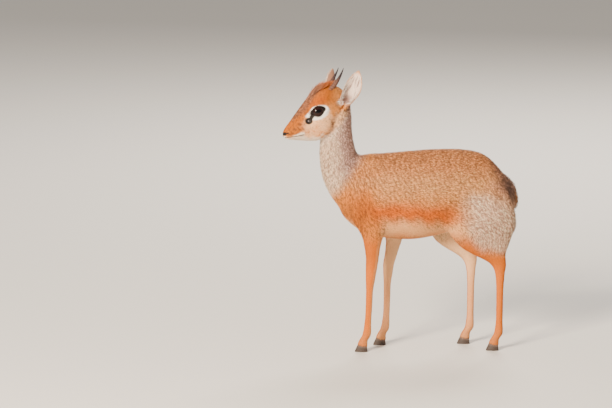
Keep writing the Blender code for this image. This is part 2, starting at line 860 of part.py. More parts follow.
def build_head():
    """The head and what stands on it, each cut clear of the next."""
    head = head_skin()
    plane_cut(head, *HEAD_CUT, -300 * MM, GAP)
    head = kept_largest(head)
    combined(head, mouth_cutter(head), "DIFFERENCE", "MANIFOLD")
    for sign in (1, -1):
        combined(head, nostril(sign), "DIFFERENCE", "MANIFOLD")
        combined(head, eye_cap(sign, GAP), "DIFFERENCE", "MANIFOLD")
        combined(head, eye_opening(sign), "DIFFERENCE", "MANIFOLD")
    head = united(kept_largest(head), crest())
    nodes = {"head": head}
    skin = grown(head, GAP)
    for word, sign in (("left", 1), ("right", -1)):
        nodes[f"eye_{word}"] = eye_cap(sign)
        horn_piece = combined(horn(sign), skin, "DIFFERENCE", "MANIFOLD", keep=True)
        nodes[f"horn_{word}"] = kept_largest(horn_piece)
        ear_piece = combined(ear(sign), skin, "DIFFERENCE", "MANIFOLD", keep=True)
        ear_piece = combined(ear_piece, grown(nodes[f"horn_{word}"], GAP), "DIFFERENCE", "MANIFOLD")
        nodes[f"ear_{word}"] = kept_largest(ear_piece)
    bpy.data.objects.remove(skin)
    return nodes


def painted(name, obj):
    obj.name = obj.data.name = name
    colour = next(value for part, value in COLOURS.items() if part in name.split("_"))
    material = bpy.data.materials.new(name)
    material.use_nodes = True
    shader = material.node_tree.nodes["Principled BSDF"]
    shader.inputs["Base Color"].default_value = (*colour, 1)
    glossy = name.startswith("eye")
    shader.inputs["Roughness"].default_value = 0.08 if glossy else 0.5 if "hoof" in name else 0.85
    material.diffuse_color = (*colour, 1)
    obj.data.materials.clear()
    obj.data.materials.append(material)


def settle(nodes):
    """Moves all of it so that the origin is at the middle of the bounding box's floor."""
    points = np.vstack([positions(obj) for obj in nodes.values()])
    low, high = points.min(0), points.max(0)
    offset = -np.array(((low[0] + high[0]) / 2, (low[1] + high[1]) / 2, low[2]))
    for obj in nodes.values():
        move_points(obj, positions(obj) + offset)


def main():
    for obj in list(bpy.data.objects):
        bpy.data.objects.remove(obj)
    body = body_skin()
    tail_piece = combined(tail(), grown(body, GAP), "DIFFERENCE", "MANIFOLD")
    nodes = named_pieces(cut_body(body))
    nodes["tail"] = kept_largest(tail_piece)
    nodes.update(build_head())
    for foot, x, y, side in foot_places():
        for word, inner in (("inner", -side), ("outer", side)):
            limb, where = foot.split("_")
            nodes[f"{limb}_hoof_{where}_{word}"] = toe("toe", x, y, side, inner)
    settle(nodes)
    for name, obj in nodes.items():
        painted(name, obj)


main()
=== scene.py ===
import math

import bmesh
import bpy
import numpy as np
from mathutils import Matrix, Vector


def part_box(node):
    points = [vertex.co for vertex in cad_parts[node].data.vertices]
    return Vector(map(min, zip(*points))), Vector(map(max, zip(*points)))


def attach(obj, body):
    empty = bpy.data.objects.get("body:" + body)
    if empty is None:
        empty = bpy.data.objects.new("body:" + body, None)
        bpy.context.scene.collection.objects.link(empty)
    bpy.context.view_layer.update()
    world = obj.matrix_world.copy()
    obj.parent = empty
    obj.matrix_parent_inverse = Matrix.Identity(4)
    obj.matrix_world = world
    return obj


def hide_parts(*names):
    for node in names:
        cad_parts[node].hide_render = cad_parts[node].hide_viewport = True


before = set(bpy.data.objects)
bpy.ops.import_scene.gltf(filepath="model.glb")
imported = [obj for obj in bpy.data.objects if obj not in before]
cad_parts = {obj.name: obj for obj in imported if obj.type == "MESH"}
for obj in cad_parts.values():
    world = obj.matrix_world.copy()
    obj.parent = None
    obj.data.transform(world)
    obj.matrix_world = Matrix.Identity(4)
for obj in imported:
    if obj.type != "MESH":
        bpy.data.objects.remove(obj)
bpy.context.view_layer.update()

# The looks of the still, life-size dik-dik: one skin, its coat in small tufts, eyes, horns and hooves.
#
# The animal faces -X, its left side is towards -Y and Z is up. The stations below follow the solids, in
# millimetres, X from the middle of the trunk and Z from the ground. Everything is built there, and put()
# moves each finished piece into the frame.

MM = 0.001
SIDES = {"left": -1, "right": 1}

# Trunk: X, top and bottom of the vertical section, half width
TRUNK = (
    (-180, 306, 282, 9), (-174, 326, 268, 24), (-166, 350, 256, 35), (-146, 378, 239, 45),
    (-124, 386, 228, 50), (-97, 387, 220, 53), (-68, 389, 216, 56), (-39, 391, 215, 59),
    (-10, 393, 218, 61), (20, 394, 225, 61), (49, 394, 233, 59), (78, 391, 239, 56), (101, 385, 243, 52),
    (121, 371, 246, 46), (140, 350, 251, 38), (156, 329, 260, 28), (166, 306, 274, 14),
)
TRUNK_WIDEST = 0.44
TRUNK_ROUND_ABOVE = 1.85
TRUNK_ROUND_BELOW = 2.15

# Neck: Z, X, half depth fore and aft, Y, half width
NECK = (
    (486, -176, 21, -3, 19), (468, -178, 26, -4, 23), (448, -181, 29.5, -4, 26), (420, -182, 32.5, -3, 28),
    (390, -180.5, 37.5, -2, 31), (360, -174.5, 41.5, -1, 35), (330, -165, 44, 0, 39),
    (300, -148, 46, 0, 42), (272, -132, 40, 0, 40), (245, -120, 26, 0, 30),
)

# Hindquarters between the thighs: centre and size
PELVIS = ((118, 0, 280), (43, 34, 40))

# Legs: Z, X, half depth fore and aft, distance from the mid-plane, half width
FORE_LEG = (
    (382, -112, 14, 15, 10), (360, -117, 27, 21, 17), (325, -126, 36, 29, 20), (285, -130, 38, 33, 21),
    (252, -121, 31, 35, 19), (228, -115, 23, 36, 17), (208, -115, 18, 36, 14), (185, -115, 14, 35, 11.5),
    (160, -117, 11.2, 34, 9.6), (142, -118.5, 9.6, 34, 9.4), (122, -120, 7.6, 34, 7.4),
    (95, -121, 7, 34, 6.8), (60, -123, 7, 34, 6.8), (34, -125.5, 8.8, 34, 8.6), (22, -131.8, 9, 34, 8.8),
    (12, -134, 10.6, 34, 9.8), (3, -136, 10.4, 34, 9.6),
)
HIND_LEG = (
    (362, 92, 26, 20, 16), (325, 100, 46, 29, 22), (285, 100, 62, 36, 26), (250, 97, 69, 40, 26),
    (228, 97, 63, 41, 22), (205, 103, 49, 40, 17), (190, 112.5, 34, 39, 13.5), (178, 125, 21.5, 38, 11),
    (167, 132, 14.5, 37, 9.8), (150, 134, 9.8, 36, 8.4), (120, 134, 7.6, 36, 7), (85, 133.5, 7.2, 36, 6.8),
    (58, 133, 7.2, 36, 6.8), (34, 131.5, 9, 36, 8.6), (22, 124.6, 9, 36, 8.8), (12, 122, 10.6, 36, 9.8),
    (3, 120, 10.4, 36, 9.6),
)
# How far the right legs stand from the left ones: Z, shift in X
FORE_STEP = ((325, 0), (285, 8), (252, 30), (228, 45), (208, 48), (185, 43), (160, 39), (60, 41))
HIND_STEP = ((362, 0), (325, -3), (285, -14), (250, -30), (228, -36), (205, -42), (190, -46), (178, -50))

# Planes between head, neck and trunk, as two points (X, Z) on each
HEAD_CUT = ((-214, 408), (-156, 479))
NECK_CUT = ((-213, 334), (-142, 388))

# Head: distance forward, top, bottom, and half widths at the brow, the middle and the jaw
HEAD = (
    (-27, 22, 4, 9, 12, 9), (-22, 33, -6, 16, 19, 13), (-10, 45, -20, 20, 23, 15), (0, 50, -32, 22, 25, 17),
    (10, 52, -42, 23, 26, 20), (20, 51, -49, 25, 27, 22), (32, 47.5, -53, 26.5, 27.5, 22),
    (45, 40, -55, 23.5, 25.8, 19.5), (58, 28.5, -54.5, 17, 20.5, 17), (65, 22, -54, 14.4, 18.2, 15.8),
    (73, 13.5, -53, 12.3, 16.6, 15), (80, 5.5, -52.2, 11.2, 15.4, 14), (88, -4, -51.2, 10.5, 14.5, 13),
    (95, -12.5, -50.2, 10, 13, 12), (101, -19.5, -49, 9.6, 12, 10.8), (106, -25.5, -47.2, 9, 10.6, 9),
    (109.5, -30.5, -44.6, 6.8, 8.2, 6.4), (111.5, -34.5, -41.5, 3.4, 4.4, 3.2),
)
HEAD_LEVELS = (0.22, 0.5, 0.82)
HEAD_ROUND = 2.4
HEAD_AT = Vector((-185, -4, 469)) * MM
HEAD_TURN = math.radians(20)
HEAD_ROLL = math.radians(5)

# Face, in the head's axes: forward, out from the middle, up
EYE = Vector((45, 14.6, 2.6)) * MM
EYE_LOOKS = Vector((0.25, 0.96, 0.08)).normalized()
EYE_TILT = math.radians(15)
EYE_RADIUS = 14 * MM
EYE_BACK = 2 * MM
LID = 1.4 * MM
OPENING = (13.2, 8.7)
GLAND = (65, 18, -14.5)
GLAND_SIZE = 5.4
NOSTRIL = (106, 7.2, -37)
NOSTRIL_SIZE = (3.4, 2.6, 1.3)
NOSTRIL_TURN = math.radians(-38)
NOSTRIL_DIP = math.radians(24)
MOUTH = ((118, -44.4), (109, -44.5), (102, -44.2), (91, -43.4), (84, -42.4), (73, -40.6))

HORN_BASE = Vector((15, 12.5, 43)) * MM
HORN_TIP = Vector((-15, 12, 83)) * MM
HORN_RADIUS = 5.6 * MM
HORN_CURVE = 3 * MM
HORN_RINGS = 6

EAR_BASE = Vector((-9, 23, 14)) * MM
EAR_TIP = Vector((-20.5, 66, 75.5)) * MM
EAR_FILLED = (0.0, 0.16)
EAR_OPENS = Vector((0.5, 0.84, 0.05))
EAR_THICKNESS = 1.5 * MM
# How far in mm each cup's back lies below the line from base to tip, and how far the middle of the left and
# of the right ear lies to the rear of it
EAR_DEPTH = 7
EAR_BOWS = (3.6 * MM, -1.6 * MM)
# Ear: share of its length, radius of the cup, half the angle that it goes round
EAR = (
    (-0.18, 7, 165), (0, 9, 146), (0.09, 10.5, 128), (0.2, 12.4, 108), (0.32, 14, 95), (0.46, 16.2, 80),
    (0.6, 17.3, 67), (0.76, 16, 55), (0.9, 12, 40), (1, 4, 22),
)

# Tail: X, Z, half width, half thickness
TAIL = (
    (146, 340, 8, 6), (155, 328, 10, 7), (162, 314, 10, 7), (167, 300, 9, 6), (169.5, 287, 6.5, 4.5),
    (170, 276, 2, 1.5),
)

# Crest, row by row from its front: distance forward, half its breadth, length, lean
CREST = (
    (60, 5, 12, 62), (54, 7, 20, 68), (47, 10, 25, 66), (40, 12, 25, 60), (33, 13, 24, 55),
    (26, 12, 23.5, 47), (18, 9.5, 21, 44),
)

HOOF_FRONT = 15 * MM
HOOF_BACK = 10 * MM
HOOF_WIDTH = 8.6 * MM
HOOF_LEAN = 7 * MM
CLEFT = 1.2 * MM
CORONET_FRONT = 15 * MM
CORONET_SLOPE = 0.26
HOOF_GAP = 0.3 * MM

SKIN_VOXEL = 2.5 * MM
HEAD_EDGE = SKIN_VOXEL / 2

# Coat colours
RUST = (0.50, 0.125, 0.004)
BROW = (0.42, 0.085, 0.0)
MUZZLE = (0.44, 0.10, 0.0)
TEMPLE = (0.68, 0.26, 0.06)
CHEEK = (0.94, 0.53, 0.29)
CREAM = (0.95, 0.46, 0.19)
WHITE = (0.95, 0.78, 0.63)
EYE_WHITE = (0.95, 0.90, 0.84)
THROAT = (0.95, 0.61, 0.43)
NAPE = (0.62, 0.37, 0.31)
BROWN = (0.68, 0.26, 0.09)
FLANK = (0.78, 0.35, 0.13)
SHOULDER = (0.82, 0.265, 0.042)
BAND = (0.66, 0.125, 0.0)
THIGH = (0.90, 0.54, 0.38)
LEG = (0.64, 0.15, 0.006)
DARK = (0.06, 0.032, 0.022)
BLACK = (0.012, 0.009, 0.008)
# Painted shade on the rump's rear-facing side
REAR_SHADE = (0.15, 0.11, 0.10)
CREST_COLOUR = (0.46, 0.115, 0.022)
HORN_COLOUR = (0.13, 0.062, 0.045)
HORN_TIP_COLOUR = (0.024, 0.018, 0.024)
HOOF_COLOUR = (0.055, 0.040, 0.034)
WITHERS = (0.78, 0.29, 0.085)
# Painted shade at the front edge of the shoulder
SHOULDER_FRONT_SHADE = (0.50, 0.115, 0.008)
# Partly the coat's own grey-brown, partly painted shade on the top of the rump
RUMP_AND_SHADE = (0.34, 0.18, 0.145)
LEG_REAR = (0.90, 0.46, 0.19)
LEG_INSIDE = (0.95, 0.58, 0.31)
PASTERN = (0.50, 0.20, 0.07)
TAIL_COLOUR = (0.40, 0.18, 0.08)
JAW = (0.66, 0.21, 0.035)
CHEEK_MOTTLE = (0.62, 0.20, 0.035)
SPOT = (0.20, 0.07, 0.025)
STREAK = (0.2, 0.09, 0.06)
STRIPE = (0.11, 0.045, 0.025)
STRIPE_PALER = (0.38, 0.15, 0.07)
EAR_SHADOW = (0.16, 0.08, 0.045)
CHEEK_SMUDGE = (0.22, 0.095, 0.045)
GLINT = (0.30, 0.26, 0.29)
EAR_REAR = (0.47, 0.23, 0.14)
EAR_EDGE = (0.88, 0.74, 0.62)
EAR_INSIDE = (0.93, 0.75, 0.64)
# The ear's dark streaks, and a painted shadow line near its front edge
EAR_STREAK_AND_SHADOW = (0.16, 0.075, 0.06)
# Painted shade deep in the ear's cup
EAR_HOLLOW_SHADE = (0.16, 0.06, 0.05)
# Painted shadow along the fold inside the ear's front edge
EAR_FOLD_SHADOW = (0.13, 0.045, 0.04)
EAR_RIM = (0.72, 0.34, 0.13)
FRINGE = (0.88, 0.80, 0.74)
CREST_FRONT = (0.46, 0.20, 0.12)
IRIS = (0.016, 0.006, 0.005)
IRIS_EDGE = (0.008, 0.005, 0.006)
PUPIL = (0.002, 0.002, 0.003)
CORONET = (0.17, 0.11, 0.085)

# Dark streaks inside the ear: place across and strength. They are the hair's own streaks, and the strongest,
# at -0.7, is a painted shadow line near the front edge
EAR_STREAKS_AND_SHADOW_LINE = ((-0.7, 1.3), (-0.36, 0.8), (0.0, 0.8), (0.34, 1), (0.64, 0.7))

# How many layers of tufts cover the body and the head, and how many longer locks there are
COVER = (2.5, 2.1)
CREST_LOCKS = 2700
COLLAR_LOCKS = 260
FRINGE_LOCKS = 520
TUFT_LOCKS = 80
LASHES = 34

# Camera: turn and height of its place, distance, scale in the middle of the trunk, and the pixel and place
# that it turns about
CAMERA_ANGLES = (math.radians(-5), math.radians(10))
CAMERA_DISTANCE = 10.0
METRES_A_PIXEL = 1.95 * MM
IMAGE = (612, 408)
PIVOT_PIXEL = (430, 250)
PIVOT = Vector((0, 0, 0.19206))


def between(rows, count):
    """A smooth curve through the rows, read at that many even steps."""
    rows = np.array(rows, float)
    t = np.linspace(0, len(rows) - 1, count)
    i = np.clip(t.astype(int), 0, len(rows) - 2)
    f = (t - i)[:, None]
    p = np.vstack([2 * rows[0] - rows[1], rows, 2 * rows[-1] - rows[-2]])
    a, b, c, d = p[i], p[i + 1], p[i + 2], p[i + 3]
    bend = (2 * a - 5 * b + 4 * c - d) * f**2 + (3 * b - a - 3 * c + d) * f**3
    return 0.5 * (2 * b + (c - a) * f + bend)


def ramp(low, high, value):
    """From 0 at low to 1 at high, eased at both ends."""
    t = np.clip((value - low) / (high - low), 0, 1)
    return t * t * (3 - 2 * t)


def bell(value, width):
    return np.exp(-((value / width) ** 2))


def power(value, exponent):
    return np.sign(value) * np.abs(value) ** exponent


def blend(first, second, share):
    return first * (1 - share) + second * share


def filled(colour, count):
    """One colour for that many places."""
    return np.tile(np.array(colour), (count, 1))


def paint(colours, colour, weight):
    """Blends a colour into the colours where the weight says so."""
    colours += (np.array(colour) - colours) * np.clip(weight, 0, 1)[:, None]
    return colours


def looked_up(rows, at, *columns):
    """Reads columns of a table at values of its first column, which rises from row to row."""
    rows = np.array(rows, float)
    return [np.interp(at, rows[:, 0], rows[:, n]) for n in columns]


def flipped(vector, sign):
    """A place or direction on the left of the head, or for -1 the same on the right."""
    return Vector((vector.x, sign * vector.y, vector.z))


def unit(vectors):
    return vectors / np.maximum(np.linalg.norm(vectors, axis=-1, keepdims=True), 1e-12)


def angles(count):
    return np.linspace(0, 2 * math.pi, count, endpoint=False)


def ring_of(x, y, z):
    """Points from the three coordinates, each an array or one number for all."""
    return np.stack(np.broadcast_arrays(x, y, z), 1)


def new_object(name, mesh):
    obj = bpy.data.objects.new(name, mesh)
    bpy.context.scene.collection.objects.link(obj)
    return obj


def object_from(name, shape):
    mesh = bpy.data.meshes.new(name)
    shape.to_mesh(mesh)
    shape.free()
    return new_object(name, mesh)


def loft(name, rings):
    """A closed body through rings of equally many points, each end closed by a fan of triangles."""
    count, around = rings.shape[:2]
    points = [*rings.reshape(-1, 3), rings[0].mean(0), rings[-1].mean(0)]
    faces = []
    for i in range(count - 1):
        for j in range(around):
            k = (j + 1) % around
            faces.append((i * around + j, i * around + k, (i + 1) * around + k, (i + 1) * around + j))
    last = (count - 1) * around
    for j in range(around):
        k = (j + 1) % around
        faces.append((j, count * around, k))
        faces.append((last + j, last + k, count * around + 1))
    mesh = bpy.data.meshes.new(name)
    mesh.from_pydata([tuple(p) for p in points], [], faces)
    shape = bmesh.new()
    shape.from_mesh(mesh)
    bmesh.ops.recalc_face_normals(shape, faces=shape.faces)
    return object_from(name, shape)


def vectors_of(obj, kind):
    vectors = np.empty(len(obj.data.vertices) * 3, np.float32)
    obj.data.vertices.foreach_get(kind, vectors)
    return vectors.reshape(-1, 3).astype(float)


def positions(obj):
    return vectors_of(obj, "co")


def normals_of(obj):
    return vectors_of(obj, "normal")


def move_points(obj, points):
    obj.data.vertices.foreach_set("co", points.astype(np.float32).ravel())
    obj.data.update()


def raise_skin(obj, rise):
    """Moves each point along its normal by as many mm as rise says for its place."""
    points = positions(obj)
    move_points(obj, points + normals_of(obj) * rise(points)[:, None] * MM)


def applied(obj):
    """Puts the modifiers' result in the object's own mesh."""
    bpy.context.view_layer.update()
    made = bpy.data.meshes.new_from_object(obj.evaluated_get(bpy.context.evaluated_depsgraph_get()))
    obj.modifiers.clear()
    obj.data = made
    return obj


def joined(name, pieces):
    shape = bmesh.new()
    for piece in pieces:
        shape.from_mesh(piece.data)
        bpy.data.objects.remove(piece)
    return object_from(name, shape)


def remeshed(obj, voxel):
    made = obj.modifiers.new("one_skin", "REMESH")
    made.mode = "VOXEL"
    made.voxel_size = voxel
    return applied(obj)


def smoothed(obj, weights, rounds, factor=0.5):
    group = obj.vertex_groups.new(name="soft")
    for index, weight in enumerate(weights):
        if weight > 0.01:
            group.add([index], float(weight), "REPLACE")
    made = obj.modifiers.new("soften", "SMOOTH")
    made.factor = factor
    made.iterations = rounds
    made.vertex_group = "soft"
    applied(obj)
    obj.vertex_groups.clear()
    return obj


def combined(obj, other, operation):
    made = obj.modifiers.new(operation.lower(), "BOOLEAN")
    made.operation = operation
    made.object = other
    made.solver = "MANIFOLD"
    applied(obj)
    bpy.data.objects.remove(other)
    return obj


def refined(obj, inside):
    """Splits in four the faces of the region where inside is true, which leaves the mesh closed."""
    shape = bmesh.new()
    shape.from_mesh(obj.data)
    edges = [e for e in shape.edges if inside[e.verts[0].index] and inside[e.verts[1].index]]
    bmesh.ops.subdivide_edges(shape, edges=edges, cuts=1, use_grid_fill=True)
    shape.to_mesh(obj.data)
    shape.free()
    obj.data.update()
    return obj


def shift_of(step, z, side):
    """How far a leg on that side stands from the left one at that height."""
    return looked_up(step[::-1], z, 1)[0] if side > 0 else 0


def foot_places():
    """Each foot's name, middle of the coronet in X, distance from the mid-plane and side."""
    for name, rows, step in (("fore", FORE_LEG, FORE_STEP), ("hind", HIND_LEG, HIND_STEP)):
        x, out = rows[-2][1], rows[-2][3]
        for word, side in SIDES.items():
            yield f"{name}_hoof_{word}", (x + shift_of(step, 0, side)) * MM, side * out * MM, side


def frame_shift():
    """From the stations' places to the frame, read at the left fore foot."""
    name, x, y = next(foot_places())[:3]
    outer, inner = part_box(name + "_outer"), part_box(name + "_inner")
    return Vector((outer[0].x + HOOF_FRONT - x, (outer[0].y + inner[1].y) / 2 - y, 0))


SHIFT = frame_shift()


# Body


def trunk():
    turn = angles(72)
    rings = []
    for x, top, bottom, half in between(TRUNK, 90):
        middle = bottom + TRUNK_WIDEST * (top - bottom)
        above = np.cos(turn) > 0
        roundness = np.where(above, TRUNK_ROUND_ABOVE, TRUNK_ROUND_BELOW)
        reach = np.where(above, top - middle, middle - bottom)
        y = half * power(np.sin(turn), 2 / roundness)
        z = middle + reach * power(np.cos(turn), 2 / roundness)
        rings.append(ring_of(x, y, z))
    return loft("trunk", np.array(rings) * MM)


def pelvis():
    turn = angles(40)
    (x, y, z), (long, wide, high) = PELVIS
    rings = []
    for t in np.linspace(-0.97, 0.97, 24):
        flat = math.sqrt(1 - t * t)
        rings.append(ring_of(x + long * t, y + wide * flat * np.cos(turn), z + high * flat * np.sin(turn)))
    return loft("pelvis", np.array(rings) * MM)


def pillar(name, rows, around):
    """A body of level ellipses, from rows of Z, X, half depth, Y and half width."""
    turn = angles(around)
    rings = [ring_of(x + deep * np.cos(turn), y + half * np.sin(turn), z) for z, x, deep, y, half in rows]
    return loft(name, np.array(rings) * MM)


def leg(rows, step, side):
    rows = between(rows, 110)
    rows[:, 1] += shift_of(step, rows[:, 0], side)
    rows[:, 3] *= side
    return pillar("leg", rows, 36)


def tail():
    turn = angles(20)
    rings = []
    rows = between(TAIL, 20)
    for i, (x, z, half, deep) in enumerate(rows):
        ahead, behind = rows[min(i + 1, len(rows) - 1)], rows[max(i - 1, 0)]
        along = np.array((ahead[0] - behind[0], ahead[1] - behind[1]))
        out = np.array((-along[1], along[0])) / np.linalg.norm(along)
        lift = deep * np.cos(turn)
        rings.append(ring_of(x + out[0] * lift, half * np.sin(turn), z + out[1] * lift))
    return loft("tail", np.array(rings) * MM)


def head_matrix():
    """From the head's own axes (forward, to the left, up) to the stations'."""
    forward = Vector((-math.cos(HEAD_TURN), -math.sin(HEAD_TURN), 0))
    level = Vector((0, 0, 1)).cross(forward)
    left = level * math.cos(HEAD_ROLL) + Vector((0, 0, math.sin(HEAD_ROLL)))
    turn = Matrix((forward, left, forward.cross(left))).transposed().to_4x4()
    return Matrix.Translation(HEAD_AT) @ turn


TO_WORLD = np.array(head_matrix())
TO_HEAD = np.array(head_matrix().inverted())


def to_head(points):
    return points @ TO_HEAD[:3, :3].T + TO_HEAD[:3, 3]


def from_head(points):
    return points @ TO_WORLD[:3, :3].T + TO_WORLD[:3, 3]


def head_direction(vectors):
    return vectors @ TO_WORLD[:3, :3].T


def mirrored(own):
    """Factors that turn places in the head's axes to its left half."""
    return np.where(own[:, 1:2] < 0, (1, -1, 1), (1, 1, 1))


def skull():
    turn = angles(64)
    share = (1 - np.cos(turn)) / 2
    levels = np.array(HEAD_LEVELS)
    edge = (1 - np.abs(2 * share - 1) ** HEAD_ROUND) ** (1 / HEAD_ROUND)
    level_edge = (1 - np.abs(2 * levels - 1) ** HEAD_ROUND) ** (1 / HEAD_ROUND)
    rings = []
    for forward, top, bottom, *halves in between(HEAD, 100):
        half = np.interp(share, levels, np.array(halves) / level_edge) * edge
        rings.append(ring_of(forward, half * np.sign(np.sin(turn)), top + (bottom - top) * share))
    return loft("skull", from_head(np.array(rings) * MM))


def above_plane(points, plane):
    """Distance in mm above a plane through two points (X, Z), on the side of the head."""
    (x0, z0), (x1, z1) = plane
    along = np.array((x1 - x0, z1 - z0)) / math.hypot(x1 - x0, z1 - z0)
    return (points[:, 2] / MM - z0) * along[0] - (points[:, 0] / MM - x0) * along[1]


# Face


def face_of(points):
    """Distance forward, out from the middle and up on the head, in mm, alike on both sides."""
    own = to_head(points) / MM
    return own[:, 0], np.abs(own[:, 1]), own[:, 2]


def away_from(points, place):
    return np.stack(face_of(points), 1) - np.array(place)


def eye_axes(sign=1):
    """Out of the eye, along the slit towards its front corner, and across it, in the head's axes."""
    out = flipped(EYE_LOOKS, sign)
    along = Vector((math.cos(EYE_TILT), 0, -math.sin(EYE_TILT)))
    along = (along - out * along.dot(out)).normalized()
    across = out.cross(along) * sign
    return np.array(out), np.array(along), np.array(across) * (1 if across.z > 0 else -1)


def eye_of(points):
    """Place over the nearer eye in mm: along the slit, across it, out of it, and 1 on the slit's edge."""
    out, along, across = eye_axes()
    away = away_from(points, np.array(EYE) / MM)
    a, b = away @ along, away @ across
    share = np.clip(a / OPENING[0], -1, 1)
    narrow = 1 - 0.3 * np.clip(share, 0, 1) ** 1.4
    narrow -= np.where(b < 0, 0.34, 0.1) * np.clip(-share, 0, 1) ** 1.6
    return a, b, away @ out, np.abs(a / OPENING[0]) ** 1.75 + (b / (OPENING[1] * narrow)) ** 2


def shape_eyes(points):
    """Draws the lids over each eyeball, with a rounded margin, and the socket below it."""
    a, b, height, slit = eye_of(points)
    radius = EYE_RADIUS / MM
    ball = np.sqrt(radius**2 - np.minimum(a * a + b * b, (0.96 * radius) ** 2))
    margin = -2.0 + 2.2 * ramp(0.8, 1.0, slit) + (LID / MM - 0.2) * ramp(1.0, 1.5, slit)
    crease = 0.5 * bell(slit - 2.3, 0.35) * ramp(0, 3, b)
    wanted = ball + margin - crease - height
    front = ramp(-4, 2, height)
    amount = ramp(3.2, 1.5, slit) * np.maximum(wanted, 0) + ramp(2.2, 1.1, slit) * np.minimum(wanted, 0)
    out = eye_axes()[0]
    own = to_head(points)
    move = np.outer(amount * front * MM, out)
    move[:, 1] *= np.sign(own[:, 1])
    return from_head(own + move)


def nostril_reach(points):
    """Distance from the nostril's middle, 1 being its edge."""
    turn = Matrix.Rotation(NOSTRIL_TURN, 3, "Z") @ Matrix.Rotation(NOSTRIL_DIP, 3, "Y")
    return np.linalg.norm((away_from(points, NOSTRIL) @ np.array(turn)) / np.array(NOSTRIL_SIZE), axis=1)


def gland_reach(points):
    """Distance from the gland's middle, 1 being its edge."""
    return np.linalg.norm(away_from(points, GLAND) * (1, 0.6, 1.15), axis=1) / GLAND_SIZE


def mouth_level(points):
    """Height above the line of the mouth, and how far inside its length."""
    forward, _, up = face_of(points)
    return up - looked_up(MOUTH[::-1], forward, 1)[0], ramp(71, 76, forward) * ramp(-62, -52, up)


def face_relief(points):
    """How far the skin of the face rises along its normal, in mm."""
    forward, side, up = face_of(points)
    reach = gland_reach(points)
    rise = 0.9 * bell(reach - 0.95, 0.45) - 1.3 * bell(reach, 0.5)
    reach = nostril_reach(points)
    rise += 0.5 * bell(reach - 2.0, 0.6) - 2.6 * bell(reach, 0.95)
    above, inside = mouth_level(points)
    rise += inside * (0.6 * bell(above - 1.8, 1.6) + 0.5 * bell(above + 2.0, 1.6) - 1.6 * bell(above, 0.75))
    septum = bell(side, 0.7) * ramp(103, 107, forward) * ramp(-46, -42, up)
    cheekbone = 0.8 * bell(up + 14 + 0.28 * (forward - 40), 5) * bell(forward - 36, 22) * ramp(12, 20, side)
    return rise - 0.8 * septum + cheekbone


def on_head(points):
    return above_plane(points, HEAD_CUT)


def face_detail(points):
    """True where eyes, gland, nose and mouth need finer faces."""
    forward, side, up = face_of(points)
    slit = eye_of(points)[3]
    near_nose = (forward > 96) & (up < -18)
    above, inside = mouth_level(points)
    near_mouth = (np.abs(above) < 5) & (inside > 0) & (forward > 70)
    head = on_head(points) > 0
    return head & ((slit < 3.4) & (side > 10) | near_nose | near_mouth | (gland_reach(points) < 1.8))


def coat_depth(points):
    """How far the coat's tips lie above the skin, in mm."""
    x, _, z = points.T / MM
    head = ramp(-8, 14, on_head(points))
    face = 0.45 + 0.9 * ramp(38, -5, face_of(points)[0])
    body = 0.45 + 0.75 * ramp(150, 205, z) + 1.5 * ramp(205, 250, z)
    body += 0.5 * ramp(95, 140, x) * ramp(215, 260, z)
    body += 0.5 * ramp(-60, 0, above_plane(points, NECK_CUT))
    return blend(body, face, head)


def one_skin():
    """The whole body in one closed skin, as in the solids, with finer faces on the head."""
    pieces = [trunk(), pelvis(), pillar("neck", between(NECK, 50), 56), skull(), tail()]
    for side in SIDES.values():
        pieces += [leg(FORE_LEG, FORE_STEP, side), leg(HIND_LEG, HIND_STEP, side)]
    skin = remeshed(joined("skin", pieces), SKIN_VOXEL)
    points = positions(skin)
    head = ramp(-10, 6, on_head(points))
    tail_weight = 1 - 0.9 * ramp(160, 164, points[:, 0] / MM) * ramp(345, 325, points[:, 2] / MM)
    soft = (0.04 + 0.96 * ramp(160 * MM, 225 * MM, points[:, 2])) * (1 - head) * tail_weight
    smoothed(skin, soft, round(90 * (2.6 * MM / SKIN_VOXEL) ** 2))
    refined(skin, on_head(positions(skin)) > -6)
    points = positions(skin)
    own = to_head(points) / MM
    soft = 0.25 + 0.75 * ramp(5, -25, own[:, 0] + 0.5 * own[:, 2])
    smoothed(skin, soft * ramp(-10, 0, on_head(points)), round(24 * (1.4 * MM / HEAD_EDGE) ** 2))
    refined(skin, face_detail(positions(skin)))
    smoothed(skin, 1.0 * face_detail(positions(skin)), 6)
    raise_skin(skin, lambda points: -coat_depth(points))
    move_points(skin, shape_eyes(positions(skin)))
    raise_skin(skin, lambda points: face_relief(points) * ramp(0, 10, on_head(points)))
    for _, x, y, _ in foot_places():
        combined(skin, coronet_box(x, y), "DIFFERENCE")
    return skin


def slab(low, high, turn):
    """A box between two corners, turned by a matrix."""
    low, high = Vector(low), Vector(high)
    shape = bmesh.new()
    bmesh.ops.create_cube(shape, size=1)
    shape.transform(turn @ Matrix.Translation((low + high) / 2) @ Matrix.Diagonal([*(high - low), 1]))
    return object_from("slab", shape)


def coronet_box(x, y):
    """All of a foot below its slanting coronet."""
    slope = Matrix.Rotation(math.atan(CORONET_SLOPE), 4, "Y")
    corner = Vector((x - HOOF_FRONT + HOOF_LEAN, y, CORONET_FRONT))
    return slab((-20 * MM, -16 * MM, -30 * MM), (40 * MM, 16 * MM, 0), Matrix.Translation(corner) @ slope)


def ear_axes(sign):
    """Base, directions to the tip, out of the cup and across it, and length, in the head's axes."""
    base, tip = flipped(EAR_BASE, sign), flipped(EAR_TIP, sign)
    axis = (tip - base).normalized()
    opens = flipped(EAR_OPENS, sign)
    opens = (opens - axis * opens.dot(axis)).normalized()
    return base, axis, opens, axis.cross(opens), (tip - base).length


def ear_bow(share, left):
    """How far the ear's middle lies behind the straight line from its base to its tip."""
    return np.where(left, *EAR_BOWS) * np.sin(math.pi * np.clip(share, 0, 1) ** 1.2)


